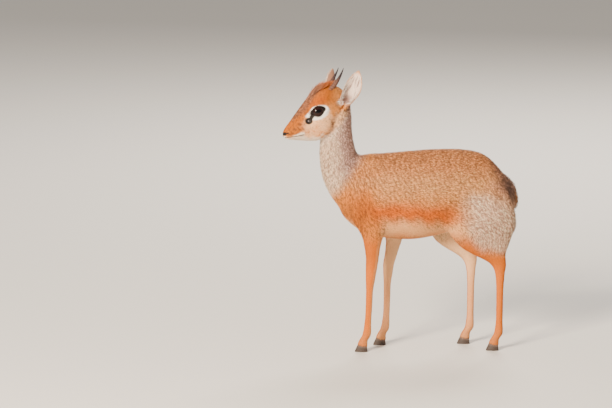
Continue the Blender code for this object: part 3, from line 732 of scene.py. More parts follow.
def ear(sign):
    """A cup of one leaf, rolled to a tube at its base and open outwards above."""
    base, axis, opens, side, length = ear_axes(sign)
    across = np.linspace(-1, 1, 33)
    rings = []
    for share, radius, half in between(EAR, 46):
        radius, half = radius * MM, math.radians(half)
        thick = EAR_THICKNESS / 2 * (1 - 0.55 * np.abs(across) ** 2) * (1 - 0.5 * share)
        filled = 1 - ramp(*EAR_FILLED, share)
        inner = thick + filled * (radius - 0.8 * MM - thick)
        folds = 0.5 * MM * np.cos(across * 9) ** 4 * ramp(0.35, 0.5, share) * ramp(0.95, 0.7, share)
        bow = side * sign * ear_bow(share, sign > 0)
        back = np.array(base + axis * share * length - opens * EAR_DEPTH * MM + bow)
        ring = []
        for line, order in ((thick, across), (-(inner + folds)[::-1], across[::-1])):
            turn = order * half
            reach = (radius + line)[:, None]
            out = np.outer(np.cos(turn), opens)
            ring.append(back + np.array(opens) * radius - reach * out + reach * np.outer(np.sin(turn), side))
        rings.append(np.vstack(ring))
    return loft("ear", from_head(np.array(rings)))


def ear_of(points, normals):
    """On the nearer ear: share of its length, place across from -1 in front to 1 behind, on it, in it."""
    own = to_head(points)
    mirror = mirrored(own)
    facing = (normals @ TO_HEAD[:3, :3].T) * mirror
    base, axis, opens, side, length = (np.array(v) for v in ear_axes(1))
    away = own * mirror - base
    share = away @ axis / length
    away = away - np.outer(ear_bow(share, mirror[:, 1] > 0), side)
    radius, half = looked_up(EAR, share, 1, 2)
    flat = away - np.outer(share * length, axis) - np.outer((radius - EAR_DEPTH) * MM, opens)
    across = np.degrees(np.arctan2(flat @ side, -(flat @ opens))) / half
    height = np.linalg.norm(flat, axis=1) / MM - radius
    on = (share > 0.04) & (height < 2.6) & ((height > -3) | (share < 0.35))
    return share, across, on, (facing * unit(flat)).sum(1) < 0


# Where the hair lies, how long it is and its colours


def mottle(points, size, seed, stretch=(1, 1, 1)):
    """Smooth random patches of about that size in mm, from -1 to 1, longer where stretch is low."""
    random = np.random.default_rng(seed)
    total = np.zeros(len(points))
    points = points * stretch
    for _ in range(7):
        direction = unit(random.normal(size=3)) * random.uniform(0.7, 1.5) * 2 * math.pi / (2.2 * size * MM)
        total += np.sin(points @ direction + random.uniform(0, 2 * math.pi))
    return np.clip(total / 2.6, -1, 1)


def head_level(forward, up):
    """Share of the head's height at that distance forward, 0 at the jaw and 1 at the crown."""
    top, bottom = looked_up(HEAD, forward, 1, 2)
    return (up - bottom) / (top - bottom)


def lie_of(points, normals):
    """The direction in which the hair lies, along the skin."""
    x, y, z = points.T / MM
    forward, _, up = face_of(points)
    ones, none = np.ones(len(points)), np.zeros(len(points))
    rear = ramp(60, 150, x)
    front = ramp(-80, -150, x)
    down = 0.3 + 0.8 * rear + 0.9 * front + 2.2 * ramp(262, 205, z)
    lie = np.stack((ones * (1 - 0.45 * front - 0.3 * rear), none, -down), 1)
    lie[:, 0] *= ramp(190, 240, z)
    neck_share = ramp(-30, 15, above_plane(points, NECK_CUT))[:, None]
    lie = blend(lie, np.stack((0.3 * ones, none, -ones), 1), neck_share)
    tail_share = (ramp(158, 166, x) * ramp(350, 330, z) * ramp(16, 10, np.abs(y)))[:, None]
    lie = blend(lie, np.array((0.1, 0, -1)), tail_share)
    own = to_head(points)
    drop = -0.38 * ramp(0.9, 0.5, head_level(forward, up)) * ramp(100, 60, forward)
    face = head_direction(np.stack((-ones, 0.25 * np.sign(own[:, 1]) * ramp(30, 60, forward), drop), 1))
    lie = blend(unit(lie), unit(face), ramp(-14, 10, on_head(points))[:, None])
    _, across, on, inside = ear_of(points, normals)
    axis, opens, edge = (np.array(v) for v in ear_axes(1)[1:4])
    spread = 0.6 * across * ramp(1, 0.6, np.abs(across)) * inside
    along_ear = (axis + (np.outer(spread, edge) + np.outer(0.3 * inside, opens))) * mirrored(own)
    lie = np.where(on[:, None], head_direction(along_ear), lie)
    lie -= normals * (lie * normals).sum(1, keepdims=True)
    return unit(lie)


def coat_length(points, on_ear=False):
    """Length of the hair in mm."""
    x, _, z = points.T / MM
    forward = face_of(points)[0]
    body = 3.0 + 1.6 * ramp(140, 215, z) + 1.6 * ramp(215, 260, z)
    body += 1.0 * ramp(100, 150, x) * ramp(220, 270, z)
    body -= 1.2 * ramp(-60, 10, above_plane(points, NECK_CUT))
    body += 2.6 * ramp(162, 168, x) * ramp(345, 320, z)
    body += 0.4 * ramp(26, 14, z)
    head = 1.6 + 1.7 * ramp(100, 60, forward) + 1.9 * ramp(38, 0, forward)
    share = ramp(-14, 12, on_head(points))
    return np.where(on_ear, 3.4, blend(body, head, share))


def body_markings(points, normals):
    """Colour and share of dark ticking on neck, trunk, legs and tail, with painted shade on the rump and at
    the front of the shoulder.
    """
    x, y, z = points.T / MM
    patches = mottle(points, 9, 3)
    z_soft = z + 4 * mottle(points, 16, 5)
    x_soft = x + 4 * mottle(points, 14, 6)
    colours = filled(BROWN, len(points))
    tick = 0.8 + 0.1 * patches
    flank = ramp(372, 322, z_soft)
    paint(colours, FLANK, flank)
    tick -= 0.22 * flank
    front = ramp(-92, -122, x_soft)
    withers = front * ramp(330, 365, z_soft)
    paint(colours, WITHERS, 0.7 * withers)
    shoulder = front * ramp(345, 290, z_soft)
    band = bell(z_soft - 272 + 0.06 * x, 19) * ramp(90, 10, x) * ramp(-150, -110, x)
    paint(colours, SHOULDER, 0.45 * ramp(335, 290, z_soft) * ramp(100, 20, x))
    paint(colours, SHOULDER, 0.95 * shoulder)
    paint(colours, BAND, 0.95 * band)
    # Painted shade: darker red at the front edge of the shoulder, for its modelling
    paint(colours, SHOULDER_FRONT_SHADE, 0.85 * bell(x + 142, 28) * bell(z_soft - 275, 48) * front)
    tick = tick * (1 - 0.6 * np.maximum(shoulder, band))
    # The top of the rump is darker grey-brown with more dark ticks: partly the coat's own colour, partly
    # painted shade where the rump slopes away from the light
    rump = ramp(95, 150, x_soft) * ramp(285, 325, z_soft)
    paint(colours, RUMP_AND_SHADE, 0.8 * rump)
    # Painted shade: the rump's rear-facing side is darkened towards slate grey where it turns away from the
    # light, and the pale thigh gives way to it
    rear = ramp(0.05, 0.8, normals[:, 0]) * ramp(125, 155, x) * ramp(262, 300, z)
    paint(colours, REAR_SHADE, 0.62 * rear)
    tick += 0.25 * rump
    thigh = ramp(40, 92, x_soft) * ramp(325, 288, z_soft + 0.2 * (x - 100)) * ramp(178, 208, z_soft)
    paint(colours, THIGH, 0.9 * thigh * (1 - 0.5 * rear))
    tick = blend(tick, 0.75, thigh)
    belly = ramp(266, 238, z_soft + 0.10 * np.clip(x, -60, 60)) * ramp(-106, -84, x_soft)
    below = ramp(-0.45, -0.8, normals[:, 2]) * (z > 190)
    belly = np.maximum(belly * ramp(96, 42, x_soft + 5 * patches), below)
    belly *= ramp(212, 232, z)
    paint(colours, CREAM, belly)
    tick *= 1 - belly
    legs = ramp(242, 205, z_soft + 30 * ramp(70, 120, x))
    inner = ramp(0.1, 0.7, -np.sign(y) * normals[:, 1]) * ramp(262, 236, z) * (0.5 + 0.4 * ramp(90, 190, z))
    paint(colours, LEG, legs)
    paint(colours, LEG_REAR, 0.5 * legs * ramp(0.2, 0.7, normals[:, 0]) * (x < 0))
    paint(colours, LEG_INSIDE, inner)
    paint(colours, PASTERN, 0.55 * legs * ramp(60, 20, z))
    tick *= 1 - legs
    scut = ramp(162, 167, x) * ramp(348, 336, z) * ramp(14, 10, np.abs(y))
    paint(colours, TAIL_COLOUR, scut)
    paint(colours, WHITE, scut * ramp(0.3, -0.3, normals[:, 0]))
    above = above_plane(points, NECK_CUT)
    ahead = ramp(0.7, -0.6, normals[:, 0] + 0.014 * (x + 178) + 0.15 * patches)
    grey = ramp(-38, 0, above + 0.45 * (-158 - x_soft))
    pale = paint(filled(NAPE, len(points)), THROAT, ahead)
    return blend(colours, pale, grey[:, None]), blend(tick, 1.15 - 0.8 * ahead, grey)


def head_markings(points):
    """Colour, share of dark ticking and bare black skin on the head."""
    forward, side, up = face_of(points)
    level = head_level(forward, up) + 0.05 * mottle(points, 7, 11)
    patches = mottle(points, 3.2, 12)
    fine = mottle(points, 1.6, 13)
    colours = filled(TEMPLE, len(points))
    tick = 0.1 + 0.25 * ramp(18, -8, forward)
    cheek = ramp(0.64, 0.5, level + 0.16 * ramp(34, 14, forward)) * ramp(92, 70, forward)
    paint(colours, CHEEK, cheek * (0.85 + 0.15 * patches))
    jaw = bell(level - 0.14, 0.05) * bell(forward - 36, 14)
    paint(colours, JAW, jaw * (0.85 + 0.3 * patches))
    mottles = ramp(-0.6, 0.3, patches) * bell(level - 0.27, 0.06) * bell(forward - 60, 14)
    paint(colours, CHEEK_MOTTLE, mottles)
    muzzle = ramp(66, 84, forward) * ramp(0.16, 0.36, level)
    paint(colours, MUZZLE, muzzle * (0.85 + 0.15 * patches))
    spots = ramp(0.1, 0.6, patches) * ramp(66, 78, forward) * bell(level - 0.5, 0.3)
    paint(colours, SPOT, 0.85 * spots)
    bridge = ramp(0.58, 0.78, level) * ramp(2, 26, forward)
    paint(colours, RUST, bridge)
    brow = bell(up - 21 + 0.25 * (forward - 52), 8) * ramp(26, 40, forward) * ramp(90, 74, forward)
    paint(colours, BROW, brow)
    crown = bell(side, 14) * ramp(8, 16, forward) * ramp(62, 46, forward) * ramp(0.7, 0.9, level)
    paint(colours, CREST_COLOUR, 0.8 * crown)
    nape = ramp(-4, -24, forward) * ramp(-20, 10, up)
    paint(colours, NAPE, 0.8 * nape)
    wide = 12.5 - 6 * ramp(62, 96, forward)
    streak = ramp(wide + 3, wide - 2.5, side + 2 * fine) * ramp(26, 40, forward) * ramp(100, 84, forward)
    streak *= ramp(0.66, 0.8, level)
    paler = np.where(fine + 0.5 * patches > 0, 1.0, 0.0)[:, None]
    paint(colours, STREAK, 0.5 * streak)
    paint(colours, paler * np.array(STRIPE_PALER) + np.array(STRIPE), 0.75 * streak)
    tick += 0.6 * streak + 0.1 * bridge
    behind = ramp(15, 20, side)
    paint(colours, EAR_SHADOW, 0.8 * bell(forward - 9, 2.6) * bell(up - 15, 4.5) * behind)
    paint(colours, WHITE, bell(forward - 1.5, 5) * bell(up - 18, 4) * behind)
    chin = ramp(0.13 + 0.09 * ramp(62, 80, forward), 0.03, level)
    paint(colours, WHITE, 0.9 * chin)
    tick *= 1 - chin
    # A darker brown smudge, nearly upright, on the rear of the cheek
    crease = bell(forward - 19 - 0.25 * (up + 20) - 1.5 * fine, 3.6) * bell(up + 22, 9.5)
    crease *= ramp(10, 14, side)
    paint(colours, CHEEK_SMUDGE, crease)
    a, b, height, slit = eye_of(points)
    front = height > -9
    b_low = b + 1.2
    reach = np.hypot((a + 0.5) / np.where(a > -0.5, 25.5, 20.5), b_low / np.where(b_low > 0, 12.0, 14.0))
    reach += 0.22 * ramp(6, 16, a) * ramp(-1, 5, b)
    ring = ramp(1.1, 0.94, reach + 0.02 * fine)
    paint(colours, EYE_WHITE, ring * front)
    tick *= 1 - ring * front
    above, inside = mouth_level(points)
    lips = inside * ramp(1, -1.5, above - 3.2 - 3.2 * bell(forward - 80, 9)) * ramp(-9, -5, above)
    lips *= ramp(102, 92, forward)
    paint(colours, WHITE, 0.85 * lips)
    line = inside * ramp(1.4 + 1.2 * bell(forward - 79, 7), 0.4, np.abs(above))
    nose = ramp(5.2, 4.2, np.hypot(side - 4.5, 1.3 * (up + 37.5)) + 1.6 * np.maximum(109 - forward, 0))
    nose = np.maximum(nose, ramp(1.5, 1.15, nostril_reach(points)))
    strip = ramp(1.5, 0.8, side) * ramp(103, 106, forward) * ramp(-33.5, -35.5, up)
    nose = np.maximum(nose, strip)
    along = np.clip(((a - 10.5) * 10 + (b + 2.5) * -8.2) / 167.2, 0, 1)
    duct = ramp(5.4, 4.1, np.hypot(a - 10.5 - 10 * along, b + 2.5 + 8.2 * along) + 0.9 * along)
    gland = ramp(1.6, 1.25, gland_reach(points))
    lids = ramp(1.75, 1.45, slit)
    dark = np.maximum.reduce((line * 0.85, nose, duct * front, gland * front, lids * front))
    paint(colours, BLACK, dark)
    paint(colours, GLINT, ramp(0.38, 0.14, gland_reach(points)) * front)
    return colours, tick * (1 - dark), dark


def ear_markings(points, normals):
    """Colour and share of dark ticking on the ears: tawny backs, white and dark streaks inside, with painted
    shade deep in the cup, along the fold and in a line near the front edge.
    """
    share, across, on, inside = ear_of(points, normals)
    patches, fine = mottle(points, 5, 31), mottle(points, 2, 32)
    back = filled(EAR_REAR, len(points))
    paint(back, EAR_EDGE, 0.8 * ramp(0.8, 0.95, -across) * ramp(0.3, 0.5, share))
    white = filled(EAR_INSIDE, len(points))
    # Dark streaks inside: the hair's own streaks, and at -0.7 a painted shadow line near the front edge
    wave = across + 0.05 * np.sin(11 * share + 4 * across)
    streaks_and_shadow = sum(bell(wave - at, 0.06) * width for at, width in EAR_STREAKS_AND_SHADOW_LINE)
    streaks_and_shadow *= ramp(0.26, 0.4, share) * ramp(0.95, 0.75, share) * ramp(-0.5, 0.3, patches)
    paint(white, EAR_STREAK_AND_SHADOW, streaks_and_shadow)
    # Painted shade deep in the ear's cup, near its base and away from its edges
    deep = ramp(0.34, 0.12, share) * ramp(0.75, 0.3, np.abs(across))
    paint(white, EAR_HOLLOW_SHADE, 0.8 * deep)
    # Painted shadow along the fold inside the front edge, from the base to below the middle
    fold_shadow = bell(across + 0.5, 0.13) * ramp(0.58, 0.4, share)
    paint(white, EAR_FOLD_SHADOW, 0.8 * fold_shadow)
    rim = ramp(0.8, 0.93, across) + ramp(0.86, 0.97, -across) * ramp(0.5, 0.7, share)
    rim = np.clip(rim + ramp(0.88, 0.97, share), 0, 1)
    paint(white, EAR_RIM, 0.85 * rim)
    colours = np.where(inside[:, None], white, back)
    return colours * (1 + 0.06 * fine[:, None]), np.where(inside, 0.03, 0.0), on


def markings(points, normals):
    """Colour, share of dark ticking, and bare dark skin, from 0 to 1."""
    colours, tick = body_markings(points, normals)
    head, head_tick, bare = head_markings(points)
    share = ramp(-12, 8, on_head(points))
    ears, ear_tick, on_ear = ear_markings(points, normals)
    colours = np.where(on_ear[:, None], ears, blend(colours, head, share[:, None]))
    tick = np.where(on_ear, ear_tick, blend(tick, head_tick, share))
    return np.clip(colours, 0, 0.95), tick, bare * (share > 0.5) * ~on_ear


# Coat


def corners_of(obj):
    """The triangles' corner places and their smooth normals."""
    mesh = obj.data
    mesh.calc_loop_triangles()
    index = np.empty(len(mesh.loop_triangles) * 3, np.int32)
    mesh.loop_triangles.foreach_get("vertices", index)
    index = index.reshape(-1, 3)
    return positions(obj)[index], normals_of(obj)[index]


def scattered(corners, corner_normals, per_area, seed):
    """Random places on the triangles, as many as per_area says for each square metre, with their normals."""
    random = np.random.default_rng(seed)
    a, b, c = corners[:, 0], corners[:, 1], corners[:, 2]
    area = np.linalg.norm(np.cross(b - a, c - a), axis=1) / 2
    total = np.cumsum(area * per_area(corners.mean(1), unit(corner_normals.mean(1))))
    count = int(total[-1])
    index = np.searchsorted(total, np.arange(count) + random.uniform(0, 1, count))
    index = np.minimum(index, len(corners) - 1)
    share = np.sqrt(random.uniform(0, 1, count))
    turn = random.uniform(0, 1, count)
    weights = np.stack((1 - share, share * (1 - turn), share * turn), 1)[:, :, None]
    return (corners[index] * weights).sum(1), unit((corner_normals[index] * weights).sum(1))


def prism(steps):
    """Faces of a tapered three-sided body with that many sections and a tip."""
    faces = [(0, 2, 1)]
    for k in range(0, 3 * (steps - 1), 3):
        faces += [(k, k + 1, k + 4, k + 3), (k + 1, k + 2, k + 5, k + 4), (k + 2, k, k + 3, k + 5)]
    last, tip = 3 * (steps - 1), 3 * steps
    return faces + [(last, last + 1, tip), (last + 1, last + 2, tip), (last + 2, last, tip)]


def sections(*rows):
    """Points across, along and above the skin from the place, width and thickness of each section."""
    points = []
    for along, wide, thick in rows:
        points += [(-wide / 2, along, -thick / 2), (wide / 2, along, -thick / 2), (0, along, thick / 2)]
    return np.array(points + [(0, 1, 0)])


# A leaf is a short tuft, narrow at both ends. A lock is long and may bend. Each has a patch in the unwrap.
LEAF = (
    np.array(((0, 0, -0.4), (-0.5, 0.4, -0.5), (0.5, 0.4, -0.5), (0, 0.4, 0.5), (0, 1, 0))),
    [(2, 1, 0), (3, 2, 0), (1, 3, 0), (1, 2, 4), (2, 3, 4), (3, 1, 4)],
)
LOCK = (sections((0, 0.8, 1), (0.3, 1, 1), (0.68, 0.7, 0.7)), prism(3))
PATCH = 0.003


def tufts(name, form, roots, normals, lies, lengths, widths, rises, colours, places, bends=0.0, soft=0.5):
    """Copies of a closed form as one mesh: hair along the skin, coloured at root, middle and tip."""
    shape, faces = form
    across, along, above = (shape[:, n, None] for n in range(3))
    per, copies = len(shape), len(roots)
    sides = unit(np.cross(normals, lies))[:, None]
    sizes = (widths, lengths, rises)
    widths, lengths, rises = (np.broadcast_to(v, copies)[:, None, None] * MM for v in sizes)
    points = roots[:, None] + sides * (widths * across) + lies[:, None] * (lengths * along)
    points = points + normals[:, None] * (rises * along * (2 - along) + 0.32 * widths * above)
    points = points + np.array(bends) * lengths * along**2
    marks = np.clip(along[:, 0] * 2, 0, 2)
    tints = np.stack([np.broadcast_to(c, (copies, 3)) for c in colours], 1)
    low = np.minimum(marks.astype(int), 1)
    tints = blend(tints[:, low], tints[:, low + 1], (marks - low)[:, None])
    loops = (np.arange(copies)[:, None] * per + np.concatenate(faces)[None, :]).ravel()
    sizes = np.tile([len(face) for face in faces], copies)
    mesh = bpy.data.meshes.new(name)
    mesh.vertices.add(copies * per)
    mesh.vertices.foreach_set("co", points.astype(np.float32).ravel())
    mesh.loops.add(len(loops))
    mesh.loops.foreach_set("vertex_index", loops.astype(np.int32))
    mesh.polygons.add(len(sizes))
    mesh.polygons.foreach_set("loop_start", (np.cumsum(sizes) - sizes).astype(np.int32))
    mesh.update(calc_edges=True)
    obj = new_object(name, mesh)
    dress(obj, tints.reshape(-1, 3), "tuft_hair")
    spots = places[:, None] + np.hstack((across, along - 0.12 * (above > 0)))[None] * PATCH
    spots = spots.reshape(-1, 2)[loops].astype(np.float32).ravel()
    mesh.uv_layers.new(name="OFBake").data.foreach_set("uv", spots)
    soft = np.repeat(np.broadcast_to(soft, copies), per)[:, None]
    shown = unit((1 - soft) * normals_of(obj) + soft * np.repeat(normals, per, axis=0))
    mesh.normals_split_custom_set_from_vertices(shown.astype(np.float32))
    return obj


def unwrapped(points, centre, axis, ahead, reach):
    """Places on a cylinder's unwrap round an axis, from 0 to 1 each way."""
    axis, ahead = unit(np.array(axis, float)), np.array(ahead, float)
    ahead = unit(ahead - axis * (ahead @ axis))
    away = points - np.array(centre) * MM
    turn = np.arctan2(away @ np.cross(axis, ahead), away @ ahead) / (2 * math.pi) + 0.5
    along = (away @ axis) / (reach * MM) + 0.5
    return np.clip(np.stack((turn, along), 1), 0.005, 0.995)


# For each coat piece: centre of its unwrap, axis, direction of its middle, length and slot
COAT = {
    "head": ((-223, -18, 462), (1, 0.36, 0), (0, 0, 1), 170, "head_coat"),
    "ear": ((-176, 45, 517), (0.13, 0.57, 0.8), (-0.8, 0.4, 0), 100, "ear_coat"),
    "neck": ((-178, -3, 390), (0, 0, 1), (-1, 0, 0), 220, "neck_coat"),
    "trunk": ((-60, 0, 300), (1, 0, 0), (0, 0, 1), 260, "body_coat"),
    "rump": ((110, 0, 300), (1, 0, 0), (0, 0, 1), 140, "body_coat"),
    "fore_leg": ((-118, 35, 115), (0, 0, 1), (-1, 0, 0), 240, "leg_coat"),
    "hind_leg": ((134, 37, 130), (0, 0, 1), (-1, 0, 0), 290, "leg_coat"),
    "tail": ((166, 0, 310), (0, 0, 1), (1, 0, 0), 90, "body_coat"),
}


def part_of(points, on_ear):
    """The coat piece that each tuft belongs to."""
    x, y, z = points.T / MM
    low = (z < 222) | ((z < 262) & (x > 55))
    kinds = {
        "tail": (x > 164) & (z < 343) & (z > 270) & (np.abs(y) < 12),
        "ear": on_ear,
        "head": on_head(points) > 0,
        "neck": above_plane(points, NECK_CUT) > 0,
        "fore_leg": low & (x < 0),
        "hind_leg": low,
        "trunk": x < 55,
    }
    kind = np.select(list(kinds.values()), list(kinds), "rump")
    own = to_head(points)[:, 1]
    half = np.select([on_ear, kind == "head"], [own > 0, own < 0], y < 0)
    return np.char.add(np.char.add(kind, "_"), np.where(half, "left", "right"))


def places_of(part, points):
    """Each tuft's place on its piece's unwrap."""
    kind, word = part.rsplit("_", 1)
    centre, axis, ahead, reach = COAT[kind][:4]
    side = SIDES[word]
    if kind.endswith("leg"):
        step = {"fore_leg": 41, "hind_leg": -50}[kind] if side > 0 else 0
        centre = (centre[0] + step, side * centre[1], centre[2])
    if kind == "ear":
        points = from_head(to_head(points) * (1, -side, 1))
    return unwrapped(points, centre, axis, ahead, reach)


def tuft_width(lengths):
    return 0.22 + 0.085 * lengths


def tuft_density(points, normals):
    on_ear = ear_of(points, normals)[2]
    lengths = coat_length(points, on_ear)
    cover = COVER[1] + (COVER[0] - COVER[1]) * ramp(3.5, 6, lengths)
    return cover / (lengths * tuft_width(lengths) * MM * MM)


def coat_colours(roots, base, tick, random):
    """Colours at root, middle and tip of each tuft: ticked hair is pale or dark, in small clusters."""
    count = len(base)
    shade = random.normal(1, 0.08, count)[:, None]
    cluster = mottle(roots, 1.7, 51, (1, 1, 0.8)) + 0.6 * mottle(roots, 3.0, 52)
    chance = random.uniform(0, 1, count) * (1.75 - 1.6 * ramp(-0.35, 0.5, cluster))
    dark = (chance < 0.62 * tick)[:, None]
    dark_tip = (chance < 0.9 * tick)[:, None]
    pale = 1 + 0.78 * tick[:, None] * random.uniform(0.2, 1, (count, 1))
    soot = np.array(DARK)
    middle = np.where(dark, base * 0.35 + soot * 0.5, base * pale) * shade
    tip = np.where(dark, soot, np.where(dark_tip, base * 0.45, base * pale * 1.04)) * shade
    return base * 0.7, np.clip(middle, 0, 0.93), np.clip(tip, 0, 0.93)


def coat(skin):
    """The short coat over the whole skin, in one piece for each part of the body."""
    roots, normals = scattered(*corners_of(skin), tuft_density, 21)
    random = np.random.default_rng(22)
    base, tick, bare = markings(roots, normals)
    on_ear = ear_of(roots, normals)[2]
    in_eye = (eye_of(roots)[3] < 1.55) & (on_head(roots) > 0) & (face_of(roots)[1] > 12)
    kept = ~in_eye & (bare < 0.6)
    roots, normals, base, tick, on_ear = (v[kept] for v in (roots, normals, base, tick, on_ear))
    count = len(roots)
    lies = lie_of(roots, normals)
    lies = unit(lies + np.cross(normals, lies) * random.normal(0, 0.2, count)[:, None])
    lengths = coat_length(roots, on_ear) * random.uniform(0.75, 1.2, count)
    widths = tuft_width(lengths) * random.uniform(0.75, 1.2, count)
    rises = np.where(on_ear, 0.5, coat_depth(roots)) * random.uniform(0.45, 1.1, count)
    colours = coat_colours(roots, base, tick, random)
    own = to_head(roots)
    near_ear = np.linalg.norm(own * mirrored(own) - np.array(EAR_BASE), axis=1) < 17 * MM
    soft = np.where(on_ear | near_ear, 0.0, 0.5)
    starts = roots - normals * 0.2 * MM
    parts = part_of(roots, on_ear)
    for part in np.unique(parts):
        own = parts == part
        shape = (v[own] for v in (starts, normals, lies, lengths, widths, rises))
        places = places_of(str(part), roots[own])
        piece = tufts(f"coat_{part}", LEAF, *shape, [c[own] for c in colours], places, soft=soft[own])
        put(piece, piece.name, COAT[str(part).rsplit("_", 1)[0]][4])


def locks(name, slot_name, roots, *shape, **more):
    """A piece of longer hair on the head: normals, directions, lengths, width, rise and colours."""
    put(tufts(name, LOCK, roots, *shape, places_of("head_left", roots), **more), name, slot_name)


def head_points(skin):
    """The skin's points on the head: their places in the head's axes in mm, places and normals."""
    points, normals = positions(skin), normals_of(skin)
    near = on_head(points) > 0
    return to_head(points[near]) / MM, points[near], normals[near]


def crest(skin):
    """The longer hair on the crown, which leans back between the horns."""
    random = np.random.default_rng(31)
    own, points, normals = head_points(skin)
    half, length, lean = looked_up(CREST[::-1], own[:, 0], 1, 2, 3)
    ahead = (own[:, 0] > CREST[-1][0] - 4) & (own[:, 0] < CREST[0][0] + 4)
    top = ahead & (np.abs(own[:, 1]) < half) & (own[:, 2] > 20)
    pick = np.flatnonzero(top & ~ear_of(points, normals)[2])
    pick = random.choice(pick, min(CREST_LOCKS, len(pick)), replace=False)
    own, roots, half, length, lean = (v[pick] for v in (own, points, half, length, lean))
    count = len(pick)
    lean = np.radians(lean + random.normal(0, 6, count))
    out = 0.03 * own[:, 1] + random.normal(0, 0.1, count)
    ways = unit(head_direction(np.stack((-np.cos(lean), out, np.sin(lean)), 1)))
    ups = unit(head_direction(np.stack((np.sin(lean), 0 * lean, np.cos(lean)), 1)))
    lengths = length * random.uniform(0.5, 1.0, count) * (1 - 0.45 * (np.abs(own[:, 1]) / half) ** 2)
    front = ramp(30, 46, own[:, 0] + random.normal(0, 4, count))
    base = paint(filled(CREST_COLOUR, count), CREST_FRONT, 0.9 * front)
    paint(base, DARK, 0.85 * (random.uniform(0, 1, count) < 0.16 + 0.34 * front))
    base *= random.normal(1, 0.1, count)[:, None]
    colours = (base * 0.55, base, base * 1.15)
    bends = head_direction(np.array((-0.16, 0, -0.14)))
    locks("crest", "head_coat", roots, ups, ways, lengths, 0.62, 0.0, colours, bends=bends)


def ear_fringe(skin):
    """Longer white hair along the edges of each ear and in a tuft before its base."""
    random = np.random.default_rng(37)
    own, points, normals = head_points(skin)
    share, across, on, inside = ear_of(points, normals)
    edge = on & inside & (across < -0.6) & (across > -0.97) & (share > 0.12) & (share < 0.75)
    rear = on & inside & (across > 0.72) & (across < 0.95) & (share > 0.15) & (share < 0.6)
    before = ~on & (np.abs(own[:, 0] - 2) < 4) & (np.abs(own[:, 2] - 17.5) < 3) & (np.abs(own[:, 1]) > 17)
    pick = random.choice(np.flatnonzero(edge | rear), FRINGE_LOCKS)
    pick = np.concatenate((pick, random.choice(np.flatnonzero(before), TUFT_LOCKS)))
    own, roots, normals, share, across, on = (v[pick] for v in (own, points, normals, share, across, on))
    count = len(pick)
    axis, opens, side = (np.array(v) for v in ear_axes(1)[1:4])
    inward = np.where(across < 0, 1, -1)[:, None] * random.uniform(0.1, 0.7, (count, 1))
    ways = axis * random.uniform(0.5, 1, (count, 1)) + opens * random.uniform(0.05, 0.45, (count, 1))
    ways = unit(ways + side * inward)
    ahead = unit(np.array((-0.75, 0.45, 0.25)) + random.normal(0, 0.12, (count, 3)))
    ways = np.where(on[:, None], ways, ahead)
    ways = head_direction(ways * mirrored(own))
    ways = unit(ways - normals * np.minimum((ways * normals).sum(1, keepdims=True), 0))
    lengths = (6 + 4 * ramp(0.6, 0.25, share)) * random.uniform(0.6, 1.1, count)
    colours = [np.array(FRINGE) * shade for shade in (0.75, 1, 1.02)]
    locks("ear_fringe", "ear_coat", roots, normals, ways, lengths, 0.6, 0.8, colours, soft=0.0)


def horn_collars(skin):
    """Short hair that stands up round the root of each horn."""
    random = np.random.default_rng(43)
    own, points, normals = head_points(skin)
    mirror = mirrored(own)
    base = np.array(HORN_BASE) / MM
    axis = unit(np.array(HORN_TIP) / MM - base)
    away = own * mirror - base
    along = away @ axis
    out = away - np.outer(along, axis)
    reach = np.linalg.norm(out, axis=1)
    pick = random.choice(np.flatnonzero((reach > 4.4) & (reach < 8.2) & (np.abs(along) < 9)), COLLAR_LOCKS)
    roots, normals, out, mirror = (v[pick] for v in (points, normals, unit(out), mirror))
    one_each = (len(pick), 1)
    ways = axis * random.uniform(0.5, 1, one_each) + out * random.uniform(0, 0.3, one_each) + (-0.25, 0, 0)
    ways = unit(head_direction(unit(ways) * mirror))
    lengths = random.uniform(2.6, 5.2, len(pick))
    middle = markings(roots, normals)[0] * random.normal(0.9, 0.12, one_each)
    colours = (middle * 0.6, middle, middle * 1.1)
    locks("horn_collars", "head_coat", roots, normals, ways, lengths, 0.5, 0.3, colours)


def lashes(skin):
    """A row of dark lashes along the upper lid."""
    random = np.random.default_rng(41)
    own, points, normals = head_points(skin)
    a, b, height, slit = eye_of(points)
    rim = (slit > 1.15) & (slit < 1.5) & (b > 1.5) & (np.abs(a) < 11) & (height > 0)
    pick = random.choice(np.flatnonzero(rim), 2 * LASHES, replace=False)
    own, roots, normals, a = (v[pick] for v in (own, points, normals, a))
    out, along, across = eye_axes()
    ways = out + np.outer(0.06 * a, along) + across * random.uniform(-0.25, 0.25, (len(pick), 1))
    ways = unit(head_direction(ways * mirrored(own)))
    lengths = random.uniform(3.5, 5.5, len(pick))
    bends = head_direction(np.array((-0.1, 0, 0.3)))
    locks("lashes", "head_coat", roots, normals, ways, lengths, 0.22, 0, [BLACK] * 3, bends=bends)


# Eyes, horns and hooves


